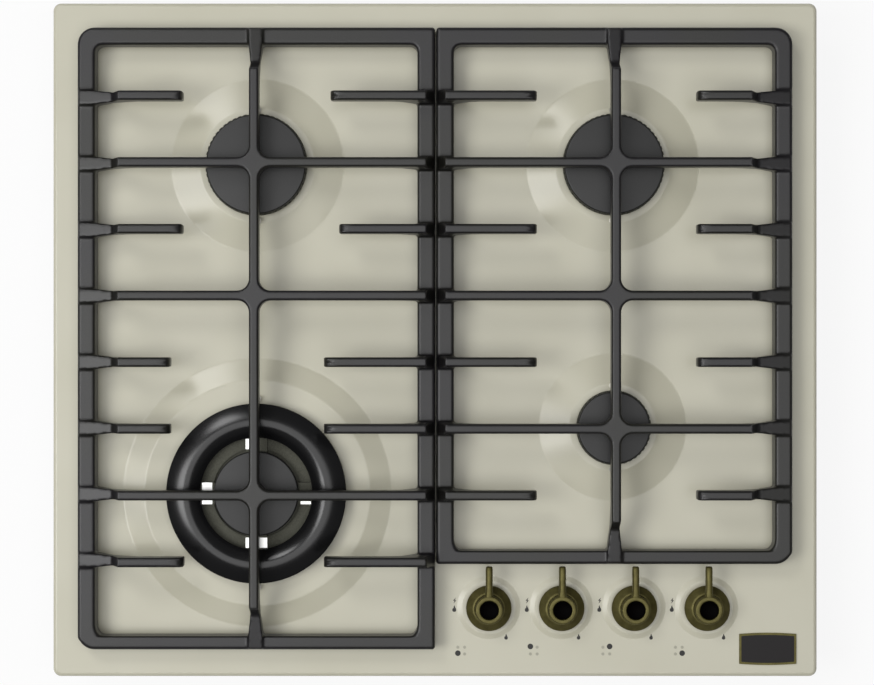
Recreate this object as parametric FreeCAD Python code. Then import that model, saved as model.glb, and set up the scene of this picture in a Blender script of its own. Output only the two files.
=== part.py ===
"""Built-in gas cooktop with four burners, two cast pan supports and a row of four lever knobs.

Frame: +Z up, the front edge with the knobs at -Y, the origin under the middle of the tray.
All sizes are in millimetres. Each piece is written to its own file.
"""
import FreeCAD
import Part
import os
from math import ceil, cos, pi, radians, sin, tan

V = FreeCAD.Vector
UP = V(0, 0, 1)

# Plate: a pressed sheet with a rim, a sunk zone under the pan supports and raised burner seats
plate_width = 590.0
plate_depth = 520.0
plate_corner = 6.0
plate_sheet = 1.5
plate_edge_round = 3.0
rim_rise = 6.5
skirt_lift = 0.5
sunk_depth = 3.5
sunk_wall_run = 2.7
sunk_inset = 2.0
wall_top_bend = 2.6
wall_foot_bend = 1.2
seat_bend = 5.0
knob_seat_bend = 3.0

# Tray under the plate
worktop_level = 50.0
tray_side_inset = 18.5
tray_end_inset = 19.5
tray_corner = 8.0
tray_sheet = 1.5
tray_lip = 7.0

# Foam seal between the plate's edge and the worktop
seal_width = 7.5
seal_inset = 3.5

# Studs and nuts that hold the tray under the plate
stud_radius = 1.5
stud_end = 0.4
nut_flats = 5.5
nut_height = 2.4
studs_along = 3

# Pan supports
support_side_margin = 21.5
support_rear_margin = 21.0
support_front_margin = 23.0
control_strip = 88.3
seam_place = 0.5
seam_gap = 1.0
frame_width = 13.5
frame_height = 18.0
frame_lift = 1.5
frame_corner = 13.0
frame_inner_corner = 5.5
seam_corner = 1.5
frame_round = 2.2
bar_width = 7.4
bar_height = 15.5
bar_rise = 21.0
bar_round = 1.5
crossing_round = 9.0
row_count = 8
first_row_margin = 54.0
last_row_margin = 68.5
root_width = 10.8
root_lip = 0.8
root_step_foot = 27.5
root_step_top = 33.5
root_swell = 1.2
root_climb = 3.4
root_tail = 13.0
root_under = 3.0
root_foot_run = 2.0
seam_root_width = 9.2
seam_step_foot = 1.5
seam_step_top = 6.5
left_fingers = {1: (54.0, 58.0), -1: (54.0, 64.5), -3: (63.5, 53.0), -4: (63.5, 53.0), -6: (53.5, 53.0)}
right_fingers = {1: (60.0, 61.5), -1: (60.0, 61.5), -3: (60.0, 61.5), -5: (60.0, 61.5)}
left_full_rows = (0, -2, -5)
right_full_rows = (0, -2, -4)

# Rubber feet of the pan supports
foot_radius = 3.4
foot_clearance = 0.6
foot_peg_radius = 1.8
foot_peg_length = 6.0
foot_peg_room = 0.2
foot_corner_run = 26.0

# Burner places: how far from their support's middle, and in rows of the supports from the rear burners
burner_off_middle = 0.45
small_burner_row = -4
large_burner_row = -5

# Rear burners and the small front burner: (cap radius, seat base radius, seat top radius)
medium_cap_radius = 38.2
medium_seat_base = 66.7
medium_seat_top = 44.0
medium_neck = 18.0
small_cap_radius = 27.8
small_seat_base = 57.0
small_seat_top = 33.5
small_neck = 13.0
seat_rise = 6.5

# What the three single burners share
cup_flange = 1.5
cup_flange_inset = 5.0
cup_wall = 2.5
cup_floor_level = 24.0
cup_floor = 12.0
neck_clearance = 0.4
crown_overhang = 0.8
crown_deck = 2.0
crown_height = 8.4
crown_wall = 6.0
crown_slot = 1.8
crown_slot_depth = 4.0
crown_slot_floor = 3.2
crown_slot_pitch = 4.6
crown_spigot = 3.0
fit_gap = 0.3
cap_thickness = 3.8
cap_edge_round = 1.4
cap_ring_depth = 2.0
cap_ring_wall = 2.0

# Large burner with three rings of flame
large_seat_base = 103.6
large_seat_top = 86.8
large_seat_rise = 5.0
large_neck = 34.0
large_ring_outer = 69.0
large_ring_inner = 43.0
large_ring_crest = 56.0
large_ring_rise = 7.5
large_ring_edge = 2.2
large_ring_outer_lean = 1.6
large_ring_outer_rise = 0.78
large_ring_inner_lean = 1.2
large_ring_inner_rise = 0.70
large_crown_height = 8.0
large_bridge_width = 16.5
large_bridge_drop = 1.0
large_channel_margin_in = 0.5
large_channel_margin_out = 0.2
large_core_radius = 31.6
large_cap_radius = 32.5
large_cap_thickness = 3.5
large_flange_radius = 60.0

# Injectors, electrodes and flame sensors
injector_flats = 9.0
injector_height = 10.0
injector_bore = 0.7
probe_gap = 3.6
electrode_radius = 2.2
electrode_collar = 3.1
electrode_drop = 17.0
electrode_tip = 0.8
sensor_radius = 1.7
sensor_collar = 2.9
sensor_drop = 14.0
probe_collar_height = 1.5
probe_below_cap = 1.5

# Knobs: their pitch, how far their row's middle is left of the burners' and how far from the front edge
knob_count = 4
knob_pitch = 56.0
knob_row_shift = 11.8
knob_front = 53.4
knob_seat_base = 24.5
knob_seat_top = 20.5
knob_seat_rise = 1.2
knob_radius = 17.6
knob_edge = 3.0
knob_push_room = 0.8
knob_hub_radius = 10.9
knob_hub_rise = 18.0
knob_shoulder_rise = 7.0
knob_wall = 2.2
knob_waist = 1.2
knob_edge_round = 0.6
knob_top_round = 1.2
insert_round = 0.6
knob_bore_depth = 12.0
knob_insert_radius = 7.7
knob_insert_height = 2.4
knob_insert_sunk = 0.8
lever_reach = 33.0
lever_width = 4.8
lever_root_width = 7.6
lever_height = 9.5
lever_round = 1.4
push_travel = 3.5

# Spindle, its seal in the plate, and the tap below
spindle_radius = 3.0
spindle_flat = 2.2
spindle_hole = 5.5
spindle_seal_flange = 8.0
spindle_seal_height = 1.0
spindle_clearance = 0.3
running_gap = 0.05
tap_floor_level = 12.0
tap_body_half = 11.0
tap_body_height = 30.0
tap_cover_height = 7.5
tap_cover_radius = 9.5
tap_cover_wall = 1.5
plug_top_radius = 7.2
plug_foot_radius = 5.8
plug_height = 20.0
plug_gap = 0.06
plug_socket_room = 1.5
spindle_engage = 9.0
spring_height = 6.5
spring_radius = 4.4
spring_wire = 0.35
spring_turns = 3.0
spring_arcs = 8
collar_radius = 6.2
collar_height = 1.5
collar_play = 0.2

# Gas rail, burner pipes and the threaded inlet
rail_level = 17.0
rail_radius = 8.0
rail_wall = 1.5
rail_behind_taps = 24.6
rail_bend = 25.0
rail_bracket_width = 12.0
pipe_level = 30.0
pipe_radius = 3.0
pipe_bore = 2.0
pipe_bend = 7.0
pipe_boss_radius = 4.5
pipe_boss_length = 5.0
outlet_length = 17.0
lane_left_of_taps = 53.4
lane_straight = 0.7
turn_behind_large = 26.0
turn_gap = 45.0
inlet_thread_radius = 10.48
inlet_thread_length = 14.0
inlet_collar_radius = 13.0
inlet_collar_length = 6.0
inlet_bore = 7.0
inlet_from_side = 25.0
inlet_recess_width = 84.0
inlet_recess_depth = 50.5
inlet_recess_height = 34.0

# Hold-down clamps, parked in recesses under the tray
clamp_from_side = 111.5
clamp_from_wall = 13.0
clamp_length = 32.0
clamp_width = 18.0
clamp_sheet = 3.0
clamp_tip_room = 0.6
clamp_bush_radius = 5.0
clamp_bush_height = 3.0
clamp_screw_radius = 2.0
clamp_screw_head_radius = 4.0
clamp_screw_head = 2.6
clamp_level = 4.0
clamp_play = 0.1
clamp_screw_rise = 6.0
clamp_recess_room = 4.0

# Ignition: spark generator, its leads and the box where the mains wires come in
generator_width = 78.0
generator_depth = 38.0
generator_height = 24.0
generator_x = 44.0
generator_y = 30.0
generator_round = 3.0
generator_ear = 10.0
generator_ear_height = 2.0
lead_radius = 1.5
lead_level = 13.0
terminal_width = 46.0
terminal_depth = 38.0
terminal_height = 26.0
gland_from_inlet = 39.0
terminal_wall = 2.0
gland_level = 16.0
gland_radius = 8.5
gland_bore = 4.2
gland_length = 12.0

# Badge, left bare
badge_width = 44.0
badge_depth = 23.0
badge_thickness = 1.6
badge_from_side = 38.2
badge_from_front = 21.4
badge_border = 1.6
badge_bow = 0.9
badge_sunk = 0.4

# Levels and edges that follow from the sizes above
rim_top = worktop_level + rim_rise
rim_under = rim_top - plate_sheet
sunk_top = rim_top - sunk_depth
lip_under = rim_under - tray_sheet
support_left = -plate_width / 2 + support_side_margin
support_right = plate_width / 2 - support_side_margin
support_rear = plate_depth / 2 - support_rear_margin
left_front = -plate_depth / 2 + support_front_margin
right_front = -plate_depth / 2 + control_strip
left_seam = seam_place - seam_gap / 2
right_seam = seam_place + seam_gap / 2
row_pitch = (support_rear - first_row_margin - left_front - last_row_margin) / (row_count - 1)
rear_row = support_rear - first_row_margin - row_pitch
burner_x = support_right / 2 + burner_off_middle
tray_width = plate_width - 2 * tray_side_inset
tray_depth = plate_depth - 2 * tray_end_inset
clamp_x = tray_width / 2 - clamp_from_side
badge_x = plate_width / 2 - badge_from_side
badge_y = -plate_depth / 2 + badge_from_front
frame_under = rim_top + frame_lift
frame_top = frame_under + frame_height
bar_top = frame_top + bar_rise
bar_under = bar_top - bar_height
foot_inset = sunk_inset + sunk_wall_run + foot_radius + foot_clearance
seat_top = sunk_top + seat_rise
large_seat = sunk_top + large_seat_rise
flange_top = seat_top + cup_flange
crown_top = flange_top + crown_height
large_flange_top = large_seat + cup_flange
large_crown_top = large_flange_top + large_crown_height
knob_y = -plate_depth / 2 + knob_front
knob_first_x = burner_x - knob_row_shift - (knob_count - 1) * knob_pitch / 2
knob_seat_level = rim_top + knob_seat_rise
knob_foot = knob_seat_level + push_travel + knob_push_room
knob_top = knob_foot + knob_hub_rise
knob_places = [knob_first_x + k * knob_pitch for k in range(knob_count)]
tap_top = tap_floor_level + tap_body_height
plug_top = tap_top - 2 * running_gap
collar_under = plug_top + spring_height
socket_depth = spindle_engage + push_travel + plug_socket_room
rail_y = knob_y + rail_behind_taps
inlet_x = tray_width / 2 - inlet_from_side
gland_x = inlet_x - gland_from_inlet
inlet_wall_y = tray_depth / 2 - inlet_recess_depth
clamp_ceiling = clamp_level + clamp_sheet + clamp_bush_height + clamp_play
medium_probe = medium_cap_radius + crown_overhang + probe_gap
small_probe = small_cap_radius + crown_overhang + probe_gap
large_probe = large_ring_outer + probe_gap

# Single burners: place, sizes and the sides where the pipe, the electrode and the flame sensor sit
single_burners = {
    "rear_left": {"at": (-burner_x, rear_row), "cap": medium_cap_radius, "base": medium_seat_base,
                  "top": medium_seat_top, "neck": medium_neck, "probe": medium_probe,
                  "pipe_side": 0, "spark_side": 270, "sensor_side": 90},
    "rear_right": {"at": (burner_x, rear_row), "cap": medium_cap_radius, "base": medium_seat_base,
                   "top": medium_seat_top, "neck": medium_neck, "probe": medium_probe,
                   "pipe_side": 180, "spark_side": 270, "sensor_side": 90},
    "front_right": {"at": (burner_x, rear_row + small_burner_row * row_pitch), "cap": small_cap_radius,
                    "base": small_seat_base, "top": small_seat_top, "neck": small_neck,
                    "probe": small_probe, "pipe_side": 0, "spark_side": 90, "sensor_side": 270},
}
large_at = (-burner_x, rear_row + large_burner_row * row_pitch)

# Lanes of the two pipes that run to the rear burners
lane_rear_left = knob_first_x - lane_left_of_taps
lane_rear_right = burner_x - medium_neck - pipe_boss_length - pipe_bend - lane_straight
turn_rear_left = large_at[1] + turn_behind_large
turn_rear_right = turn_rear_left - turn_gap


# ---- Shapes shared by the pieces ----

def cylinder(radius, low, high, at=(0, 0)):
    return Part.makeCylinder(radius, high - low, V(at[0], at[1], low))


def ring(outer, inner, low, high, at=(0, 0)):
    return cylinder(outer, low, high, at).cut(cylinder(inner, low - 1, high + 1, at))


def cone(low_radius, high_radius, low, high, at=(0, 0)):
    return Part.makeCone(low_radius, high_radius, high - low, V(at[0], at[1], low))


def block(x0, x1, y0, y1, low, high):
    return Part.makeBox(x1 - x0, y1 - y0, high - low, V(x0, y0, low))


def rod(radius, start, end):
    way = end - start
    return Part.makeCylinder(radius, way.Length, start, way)


def hexagon(flats, low, high, at=(0, 0)):
    reach = flats / 2 / cos(pi / 6)
    corners = [V(at[0] + reach * cos(k * pi / 3 + pi / 6), at[1] + reach * sin(k * pi / 3 + pi / 6), low)
               for k in range(6)]
    return prism(Part.makePolygon(corners + corners[:1]), high - low)


def polar(at, radius, angle):
    return (at[0] + radius * cos(radians(angle)), at[1] + radius * sin(radians(angle)))


def prism(wire, height):
    return Part.Face(wire).extrude(V(0, 0, height))


def rounded_outline(corners, radii, level):
    """A closed outline through the corners, each one rounded by its own radius."""
    pieces = []
    count = len(corners)
    ends = []
    for k in range(count):
        here = V(corners[k][0], corners[k][1], level)
        back = V(corners[k - 1][0], corners[k - 1][1], level) - here
        ahead = V(corners[(k + 1) % count][0], corners[(k + 1) % count][1], level) - here
        back.normalize()
        ahead.normalize()
        half = back.getAngle(ahead) / 2
        cut_back = radii[k] / tan(half)
        middle = back + ahead
        middle.normalize()
        top = here + middle * (radii[k] / sin(half) - radii[k])
        ends.append((here + back * cut_back, top, here + ahead * cut_back))
    for k in range(count):
        start, top, end = ends[k]
        pieces.append(Part.Arc(start, top, end).toShape())
        following = ends[(k + 1) % count][0]
        if (following - end).Length > 1e-6:
            pieces.append(Part.makeLine(end, following))
    return Part.Wire(pieces)


def rounded_block(half_x, half_y, radius, low, high, at=(0, 0)):
    corners = [(at[0] + a * half_x, at[1] + b * half_y) for a, b in ((-1, -1), (1, -1), (1, 1), (-1, 1))]
    return prism(rounded_outline(corners, [radius] * 4, low), high - low)


def turned(profile, at=(0, 0)):
    """A solid of revolution about the upright axis through a place, from (radius, level) points."""
    points = [V(at[0] + radius, at[1], level) for radius, level in profile]
    face = Part.Face(Part.makePolygon(points + points[:1]))
    return face.revolve(V(at[0], at[1], 0), UP, 360)


def standing(profile, half_width):
    """A plate that stands along X, from (x, level) points, evenly about the XZ plane."""
    points = [V(x, -half_width, level) for x, level in profile]
    return Part.Face(Part.makePolygon(points + points[:1])).extrude(V(0, 2 * half_width, 0))


def turned_to(shape, angle, at):
    placed = shape.copy()
    placed.rotate(V(0, 0, 0), UP, angle)
    placed.translate(V(at[0], at[1], 0))
    return placed


def fused(shapes):
    return shapes[0].multiFuse(shapes[1:]).removeSplitter()


def top_edges(shape, level):
    return [edge for edge in shape.Edges if abs(edge.BoundBox.ZMin - level) < 1e-4 and
            abs(edge.BoundBox.ZMax - level) < 1e-4]


def bent_route(points, bend):
    """Straight runs joined by tangent arcs; a bend of None makes each arc as large as its runs allow."""
    edges = []
    radii = []
    start = points[0]
    for k in range(1, len(points) - 1):
        here = points[k]
        back = points[k - 1] - here
        ahead = points[k + 1] - here
        half_turn = (pi - back.getAngle(ahead)) / 2
        shorter = min(back.Length, ahead.Length)
        radius = bend if bend else 0.45 * shorter / tan(half_turn)
        back.normalize()
        ahead.normalize()
        cut_back = radius * tan(half_turn)
        middle = back + ahead
        middle.normalize()
        top = here + middle * (radius / cos(half_turn) - radius)
        if (here + back * cut_back - start).Length > 1e-6:
            edges.append(Part.makeLine(start, here + back * cut_back))
        edges.append(Part.Arc(here + back * cut_back, top, here + ahead * cut_back).toShape())
        start = here + ahead * cut_back
        radii.append(radius)
    edges.append(Part.makeLine(start, points[-1]))
    return Part.Wire(edges), radii


def swept(route, radius):
    first = route.OrderedEdges[0]
    way = first.tangentAt(first.FirstParameter)
    circle = Part.Wire(Part.makeCircle(radius, first.valueAt(first.FirstParameter), way))
    return route.makePipeShell([circle], True, False)


def save(node, *solids):
    shape = solids[0] if len(solids) == 1 else Part.makeCompound(list(solids))
    shape.exportStep(os.path.join("parts", node + ".step"))


# ---- Plate, tray and seal ----

def sunk_outline(inset, level):
    """The L-shaped edge of the sunk zone, inside the outer edges of both pan supports."""
    left, right = support_left + inset, support_right - inset
    rear = support_rear - inset
    corners = [(left, rear), (left, left_front + inset), (left_seam - inset, left_front + inset),
               (left_seam - inset, right_front + inset), (right, right_front + inset), (right, rear)]
    outer = frame_corner - inset
    inner = seam_corner + inset
    return rounded_outline(corners, [outer, outer, inner, inner, outer, outer], level)


def plate_form(drop, inset):
    """Everything below the plate's upper skin, or below its lower skin when dropped by the sheet."""
    low = worktop_level + skirt_lift - 2 * drop
    top = rim_top - drop
    slab = rounded_block(plate_width / 2 - inset, plate_depth / 2 - inset, plate_corner - inset, low, top)
    slab = slab.makeFillet(plate_edge_round - inset, top_edges(slab, top))
    sunk = Part.makeLoft([sunk_outline(sunk_inset, top), sunk_outline(sunk_inset + sunk_wall_run,
                                                                     sunk_top - drop)], True, True)
    slab = slab.cut(sunk)
    seats = [cone(burner["base"], burner["top"], sunk_top - drop, seat_top - drop, burner["at"])
             for burner in single_burners.values()]
    seats.append(cone(large_seat_base, large_seat_top, sunk_top - drop, large_seat - drop, large_at))
    seats += [cone(knob_seat_base, knob_seat_top, top, knob_seat_level - drop, (x, knob_y))
              for x in knob_places]
    return slab.multiFuse(seats)


def flange_screw_places(at, radius):
    return [polar(at, radius, angle) for angle in (45, 225)]


def plate_holes():
    """Holes for the cups, their screws, the probes and the knob spindles."""
    low, high = lip_under, seat_top + plate_sheet
    holes = []
    for burner in single_burners.values():
        at = burner["at"]
        holes.append(cylinder(burner["neck"] + neck_clearance, low, high, at))
        holes += probe_holes(burner, low, high)
        holes += [cylinder(stud_radius + fit_gap, low, high, place)
                  for place in flange_screw_places(at, single_screw_circle(burner))]
    holes.append(cylinder(large_neck + neck_clearance, low, high, large_at))
    holes += probe_holes(large_probes(), low, high)
    holes += [cylinder(stud_radius + fit_gap, low, high, place)
              for place in flange_screw_places(large_at, large_screw_circle())]
    holes += [cylinder(spindle_hole, low, high, (x, knob_y)) for x in knob_places]
    return holes


def single_screw_circle(burner):
    return (burner["neck"] + burner["cap"] - cup_flange_inset) / 2


def large_screw_circle():
    return (large_neck + large_ring_inner) / 2


def large_probes():
    return {"at": large_at, "probe": large_probe, "spark_side": 90, "sensor_side": 270}


def probe_holes(burner, low, high):
    spark = polar(burner["at"], burner["probe"], burner["spark_side"])
    sensor = polar(burner["at"], burner["probe"], burner["sensor_side"])
    return [cylinder(electrode_radius + running_gap, low, high, spark),
            cylinder(sensor_radius + running_gap, low, high, sensor)]


def badge_recess():
    return badge_form(running_gap, rim_top - badge_sunk, rim_top + 1)


def stud_places():
    """Along each side of the tray's lip, the places of the studs."""
    out_x = tray_width / 2 + tray_lip / 2
    out_y = tray_depth / 2 + tray_lip / 2
    places = []
    for k in range(studs_along):
        share = (k + 1) / (studs_along + 1) - 0.5
        places += [(share * tray_width, -out_y), (share * tray_width, out_y)]
        places += [(-out_x, share * tray_depth), (out_x, share * tray_depth)]
    return places


def seat_circles(form, levels, places):
    """The seats' round edges at those levels, around those places."""
    circles = [edge for level in levels for edge in top_edges(form, level)
               if isinstance(edge.Curve, Part.Circle)]
    return [edge for edge in circles for x, y in places
            if edge.Curve.Center.distanceToPoint(V(x, y, edge.Curve.Center.z)) < fit_gap]


def wall_edges(form, level):
    """The edges of the sunk zone's wall at its top or at its foot."""
    seats = {edge.hashCode() for edge in seat_circles(form, [level], burner_places() + knob_points())}
    return [edge for edge in top_edges(form, level)
            if edge.hashCode() not in seats and edge.BoundBox.YMax < support_rear
            and edge.BoundBox.XMin > support_left and edge.BoundBox.XMax < support_right]


def burner_places():
    return [burner["at"] for burner in single_burners.values()] + [large_at]


def knob_points():
    return [(x, knob_y) for x in knob_places]


def pressed_skin():
    """The upper skin, with the round bends that pressing gives it."""
    form = plate_form(0, 0)
    form = form.makeFillet(wall_top_bend, wall_edges(form, rim_top))
    form = form.makeFillet(wall_foot_bend, wall_edges(form, sunk_top))
    form = form.makeFillet(seat_bend, seat_circles(form, (sunk_top, seat_top, large_seat), burner_places()))
    return form.makeFillet(knob_seat_bend, seat_circles(form, (rim_top, knob_seat_level), knob_points()))


def hob_plate():
    plate = pressed_skin().cut(plate_form(plate_sheet, plate_sheet))
    plate = plate.cut(Part.makeCompound(plate_holes())).cut(badge_recess())
    studs = [cylinder(stud_radius, lip_under - nut_height - stud_end, rim_under, place)
             for place in stud_places()]
    return plate.multiFuse(studs)


def tray_recesses(grow):
    """The inlet's corner and the four clamp recesses, as solids, grown by the sheet for their walls."""
    edge = 2 * tray_lip
    recesses = [block(tray_width / 2 - inlet_recess_width - grow, tray_width / 2 + edge,
                      inlet_wall_y - grow, tray_depth / 2 + edge, -1, inlet_recess_height + grow)]
    for side_x, side_y in clamp_sides():
        pivot_x, pivot_y = clamp_pivot(side_x, side_y)
        reach = clamp_length + clamp_recess_room
        room = clamp_width / 2 + clamp_recess_room
        x0, x1 = sorted((pivot_x + side_x * room, pivot_x - side_x * reach))
        y0, y1 = sorted((pivot_y - side_y * room, side_y * (tray_depth / 2 + edge)))
        recesses.append(block(x0 - grow, x1 + grow, y0 - grow, y1 + grow, -1, clamp_ceiling + grow))
    return Part.makeCompound(recesses)


def burner_tray():
    half_x, half_y = tray_width / 2, tray_depth / 2
    outer = rounded_block(half_x, half_y, tray_corner, 0, rim_under)
    lip = rounded_block(half_x + tray_lip, half_y + tray_lip, tray_corner + tray_lip, lip_under, rim_under)
    inner = rounded_block(half_x - tray_sheet, half_y - tray_sheet, tray_corner - tray_sheet, tray_sheet,
                          rim_under + 1).cut(tray_recesses(tray_sheet))
    tray = outer.fuse(lip).cut(tray_recesses(0)).cut(inner)
    holes = [cylinder(stud_radius + fit_gap, lip_under - 1, rim_under + 1, place)
             for place in stud_places()]
    holes += [cylinder(clamp_screw_radius, clamp_ceiling - 1, clamp_ceiling + tray_sheet + 1,
                       clamp_pivot(*sides)) for sides in clamp_sides()]
    holes.append(rod(inlet_bore + rail_wall, V(inlet_x, inlet_wall_y - tray_sheet - 1, rail_level),
                     V(inlet_x, inlet_wall_y + 1, rail_level)))
    holes.append(rod(gland_radius - terminal_wall, V(gland_x, inlet_wall_y - tray_sheet - 1, gland_level),
                     V(gland_x, inlet_wall_y + 1, gland_level)))
    return tray.cut(Part.makeCompound(holes))


def flange_seal():
    half_x, half_y = plate_width / 2 - seal_inset, plate_depth / 2 - seal_inset
    corner = plate_corner
    outer = rounded_block(half_x, half_y, corner, worktop_level, rim_under)
    inner = rounded_block(half_x - seal_width, half_y - seal_width, corner, worktop_level - 1,
                          rim_under + 1)
    return outer.cut(inner)


def badge_form(grow, low, high):
    """The badge's outline, whose front and rear edges bow outwards a little."""
    x0, x1 = badge_x - badge_width / 2 - grow, badge_x + badge_width / 2 + grow
    y0, y1 = badge_y - badge_depth / 2 - grow, badge_y + badge_depth / 2 + grow
    edges = [Part.makeLine(V(x0, y1, low), V(x0, y0, low)),
             Part.Arc(V(x0, y0, low), V(badge_x, y0 - badge_bow, low), V(x1, y0, low)).toShape(),
             Part.makeLine(V(x1, y0, low), V(x1, y1, low)),
             Part.Arc(V(x1, y1, low), V(badge_x, y1 + badge_bow, low), V(x0, y1, low)).toShape()]
    return prism(Part.Wire(edges), high - low)


def badge():
    low = rim_top - badge_sunk
    top = low + badge_thickness
    field = badge_form(-badge_border, top - badge_sunk, top + 1)
    return badge_form(0, low, top).cut(field)


# ---- Pan supports ----

def support_ring(corners, outer_radii, inner_radii):
    """The cast frame around a support, with its upper edges rounded."""
    outer = rounded_outline(corners, outer_radii, frame_under)
    x0, x1 = min(c[0] for c in corners) + frame_width, max(c[0] for c in corners) - frame_width
    y0, y1 = min(c[1] for c in corners) + frame_width, max(c[1] for c in corners) - frame_width
    inner = rounded_outline([(x0, y1), (x0, y0), (x1, y0), (x1, y1)], inner_radii, frame_under - 1)
    frame = prism(outer, frame_height).cut(prism(inner, frame_height + 2))
    limit = min(frame_round, frame_width / 3, frame_height / 3)
    return frame.makeFillet(limit, top_edges(frame, frame_top))


def crossing_pad(at):
    """A square with four hollow corners, which rounds the corners where two bars cross."""
    half = bar_width / 2 + crossing_round
    corners = [polar((0, 0), half * 2 ** 0.5, 45 + 90 * k) for k in range(4)]
    pad = block(at[0] - half, at[0] + half, at[1] - half, at[1] + half, bar_under, bar_top)
    hollows = [cylinder(crossing_round, bar_under - 1, bar_top + 1, (at[0] + x, at[1] + y))
               for x, y in corners]
    return pad.cut(Part.makeCompound(hollows))


def bar(x0, x1, y0, y1):
    return block(x0, x1, y0, y1, bar_under, bar_top)


def finger_root(half_width, step_foot, step_top):
    """The low root of a bar, along +X from the frame's outer edge, up to the step to its level top."""
    half_bar = bar_width / 2
    inner = max(frame_width, step_foot)
    side = [(root_lip, frame_under + root_under), (root_lip, frame_top + root_swell),
            (step_foot, frame_top + root_swell + root_climb * step_foot / root_step_foot),
            (step_top, bar_top), (step_top + bar_round, bar_under + bar_height / 2),
            (inner + root_tail + bar_height / 2, bar_under), (inner + root_tail, bar_under - root_under),
            (frame_width + root_foot_run, frame_under + root_under)]
    plan = [(0, -half_width), (frame_width - 1, -half_width), (inner, -half_bar),
            (inner + 3 * root_tail, -half_bar), (inner + 3 * root_tail, half_bar), (inner, half_bar),
            (frame_width - 1, half_width), (0, half_width)]
    points = [V(x, y, frame_under) for x, y in plan]
    outline = prism(Part.makePolygon(points + points[:1]), bar_top - frame_under + 1)
    return standing(side, 2 * half_width).common(outline)


def pan_support(left, right, front, seam_right, full_rows, fingers):
    """A frame, its full bars along X, its middle bar along Y and the short fingers between them."""
    rear = support_rear
    seam_x, far_x = (right, left) if seam_right else (left, right)
    middle = -burner_x if seam_right else burner_x
    sign = 1 if seam_right else -1
    corners = [(left, rear), (left, front), (right, front), (right, rear)]
    outer = [frame_corner if (x == far_x) else seam_corner for x, y in corners]
    frame = support_ring(corners, outer, [frame_inner_corner] * 4)
    half = bar_width / 2
    far_top = far_x + sign * root_step_top
    seam_top = seam_x - sign * seam_step_top
    x0, x1 = sorted((far_top, seam_top))
    bars = [bar(middle - half, middle + half, front + root_step_top, rear - root_step_top)]
    roots = [turned_to(finger_root(root_width / 2, root_step_foot, root_step_top), 90, (middle, front)),
             turned_to(finger_root(root_width / 2, root_step_foot, root_step_top), 270, (middle, rear))]
    far_root = finger_root(root_width / 2, root_step_foot, root_step_top)
    seam_root = finger_root(seam_root_width / 2, seam_step_foot, seam_step_top)
    far_angle, seam_angle = (0, 180) if seam_right else (180, 0)
    for row in sorted(set(full_rows) | set(fingers)):
        y = rear_row + row * row_pitch
        roots.append(turned_to(far_root, far_angle, (far_x, y)))
        roots.append(turned_to(seam_root, seam_angle, (seam_x, y)))
        if row in full_rows:
            bars += [bar(x0, x1, y - half, y + half), crossing_pad((middle, y))]
        else:
            before, after = fingers[row]
            bars += [bar(x0, middle - before, y - half, y + half),
                     bar(middle + after, x1, y - half, y + half)]
    rounded = []
    for piece in fused(bars).Solids:
        edges = [edge for edge in top_edges(piece, bar_top) if edge.Length > bar_width + bar_round]
        rounded.append(piece.makeFillet(bar_round, edges))
    support = frame.multiFuse(rounded + roots).removeSplitter()
    pegs = [cylinder(foot_peg_radius + running_gap, frame_under - 1, frame_under + foot_peg_length +
                     foot_peg_room, place) for place in foot_places(left, right, front)]
    return support.cut(Part.makeCompound(pegs))


def foot_places(left, right, front):
    x0, x1 = left + foot_inset, right - foot_inset
    y0, y1 = front + foot_corner_run, support_rear - foot_corner_run
    return [(x0, y0), (x1, y0), (x0, y1), (x1, y1), (x0, (y0 + y1) / 2), (x1, (y0 + y1) / 2)]


def support_feet(left, right, front):
    feet = []
    for place in foot_places(left, right, front):
        foot = cylinder(foot_radius, sunk_top, frame_under, place)
        feet.append(foot.fuse(cylinder(foot_peg_radius, frame_under, frame_under + foot_peg_length, place)))
    return feet


# ---- Burners ----

def pipe_boss(at, neck, side):
    """The stub on a cup's side where its gas pipe ends."""
    start = polar(at, neck - cup_wall, side)
    end = polar(at, neck + pipe_boss_length, side)
    return rod(pipe_boss_radius, V(start[0], start[1], pipe_level), V(end[0], end[1], pipe_level))


def gas_way(at, neck, side):
    """The bore from the stub's end to the injector."""
    end = polar(at, neck + pipe_boss_length + 1, side)
    across = rod(pipe_bore, V(at[0], at[1], pipe_level), V(end[0], end[1], pipe_level))
    return across.fuse(cylinder(pipe_bore, pipe_level, cup_floor_level + cup_floor + 1, at))


def screw_holes(places, level):
    sunk = [cone(stud_radius + fit_gap, 2 * stud_radius + fit_gap, level - cup_flange, level, place)
            for place in places]
    through = [cylinder(stud_radius + fit_gap, level - cup_flange - 1, level + 1, place)
               for place in places]
    return Part.makeCompound(sunk + through)


def single_cup(burner):
    at, neck = burner["at"], burner["neck"]
    cup = cylinder(neck, cup_floor_level, flange_top, at)
    cup = cup.fuse(cylinder(burner["cap"] - cup_flange_inset, seat_top, flange_top, at))
    cup = cup.fuse(pipe_boss(at, neck, burner["pipe_side"]))
    cup = cup.cut(cylinder(neck - cup_wall, cup_floor_level + cup_floor, flange_top + 1, at))
    cup = cup.cut(gas_way(at, neck, burner["pipe_side"]))
    return cup.cut(screw_holes(flange_screw_places(at, single_screw_circle(burner)), flange_top))


def radial_slots(at, radius, depth, low, high, pitch, inward=False):
    """Flame ports: upright slots evenly around a crown, cut from its outside or its inside."""
    count = 4 * ceil(2 * pi * radius / pitch / 4)
    start, end = (radius - 1, radius + depth) if inward else (radius - depth, radius + 1)
    slot = block(start, end, -crown_slot / 2, crown_slot / 2, low, high)
    return [turned_to(slot, (k + 0.5) * 360 / count, at) for k in range(count)]


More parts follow.
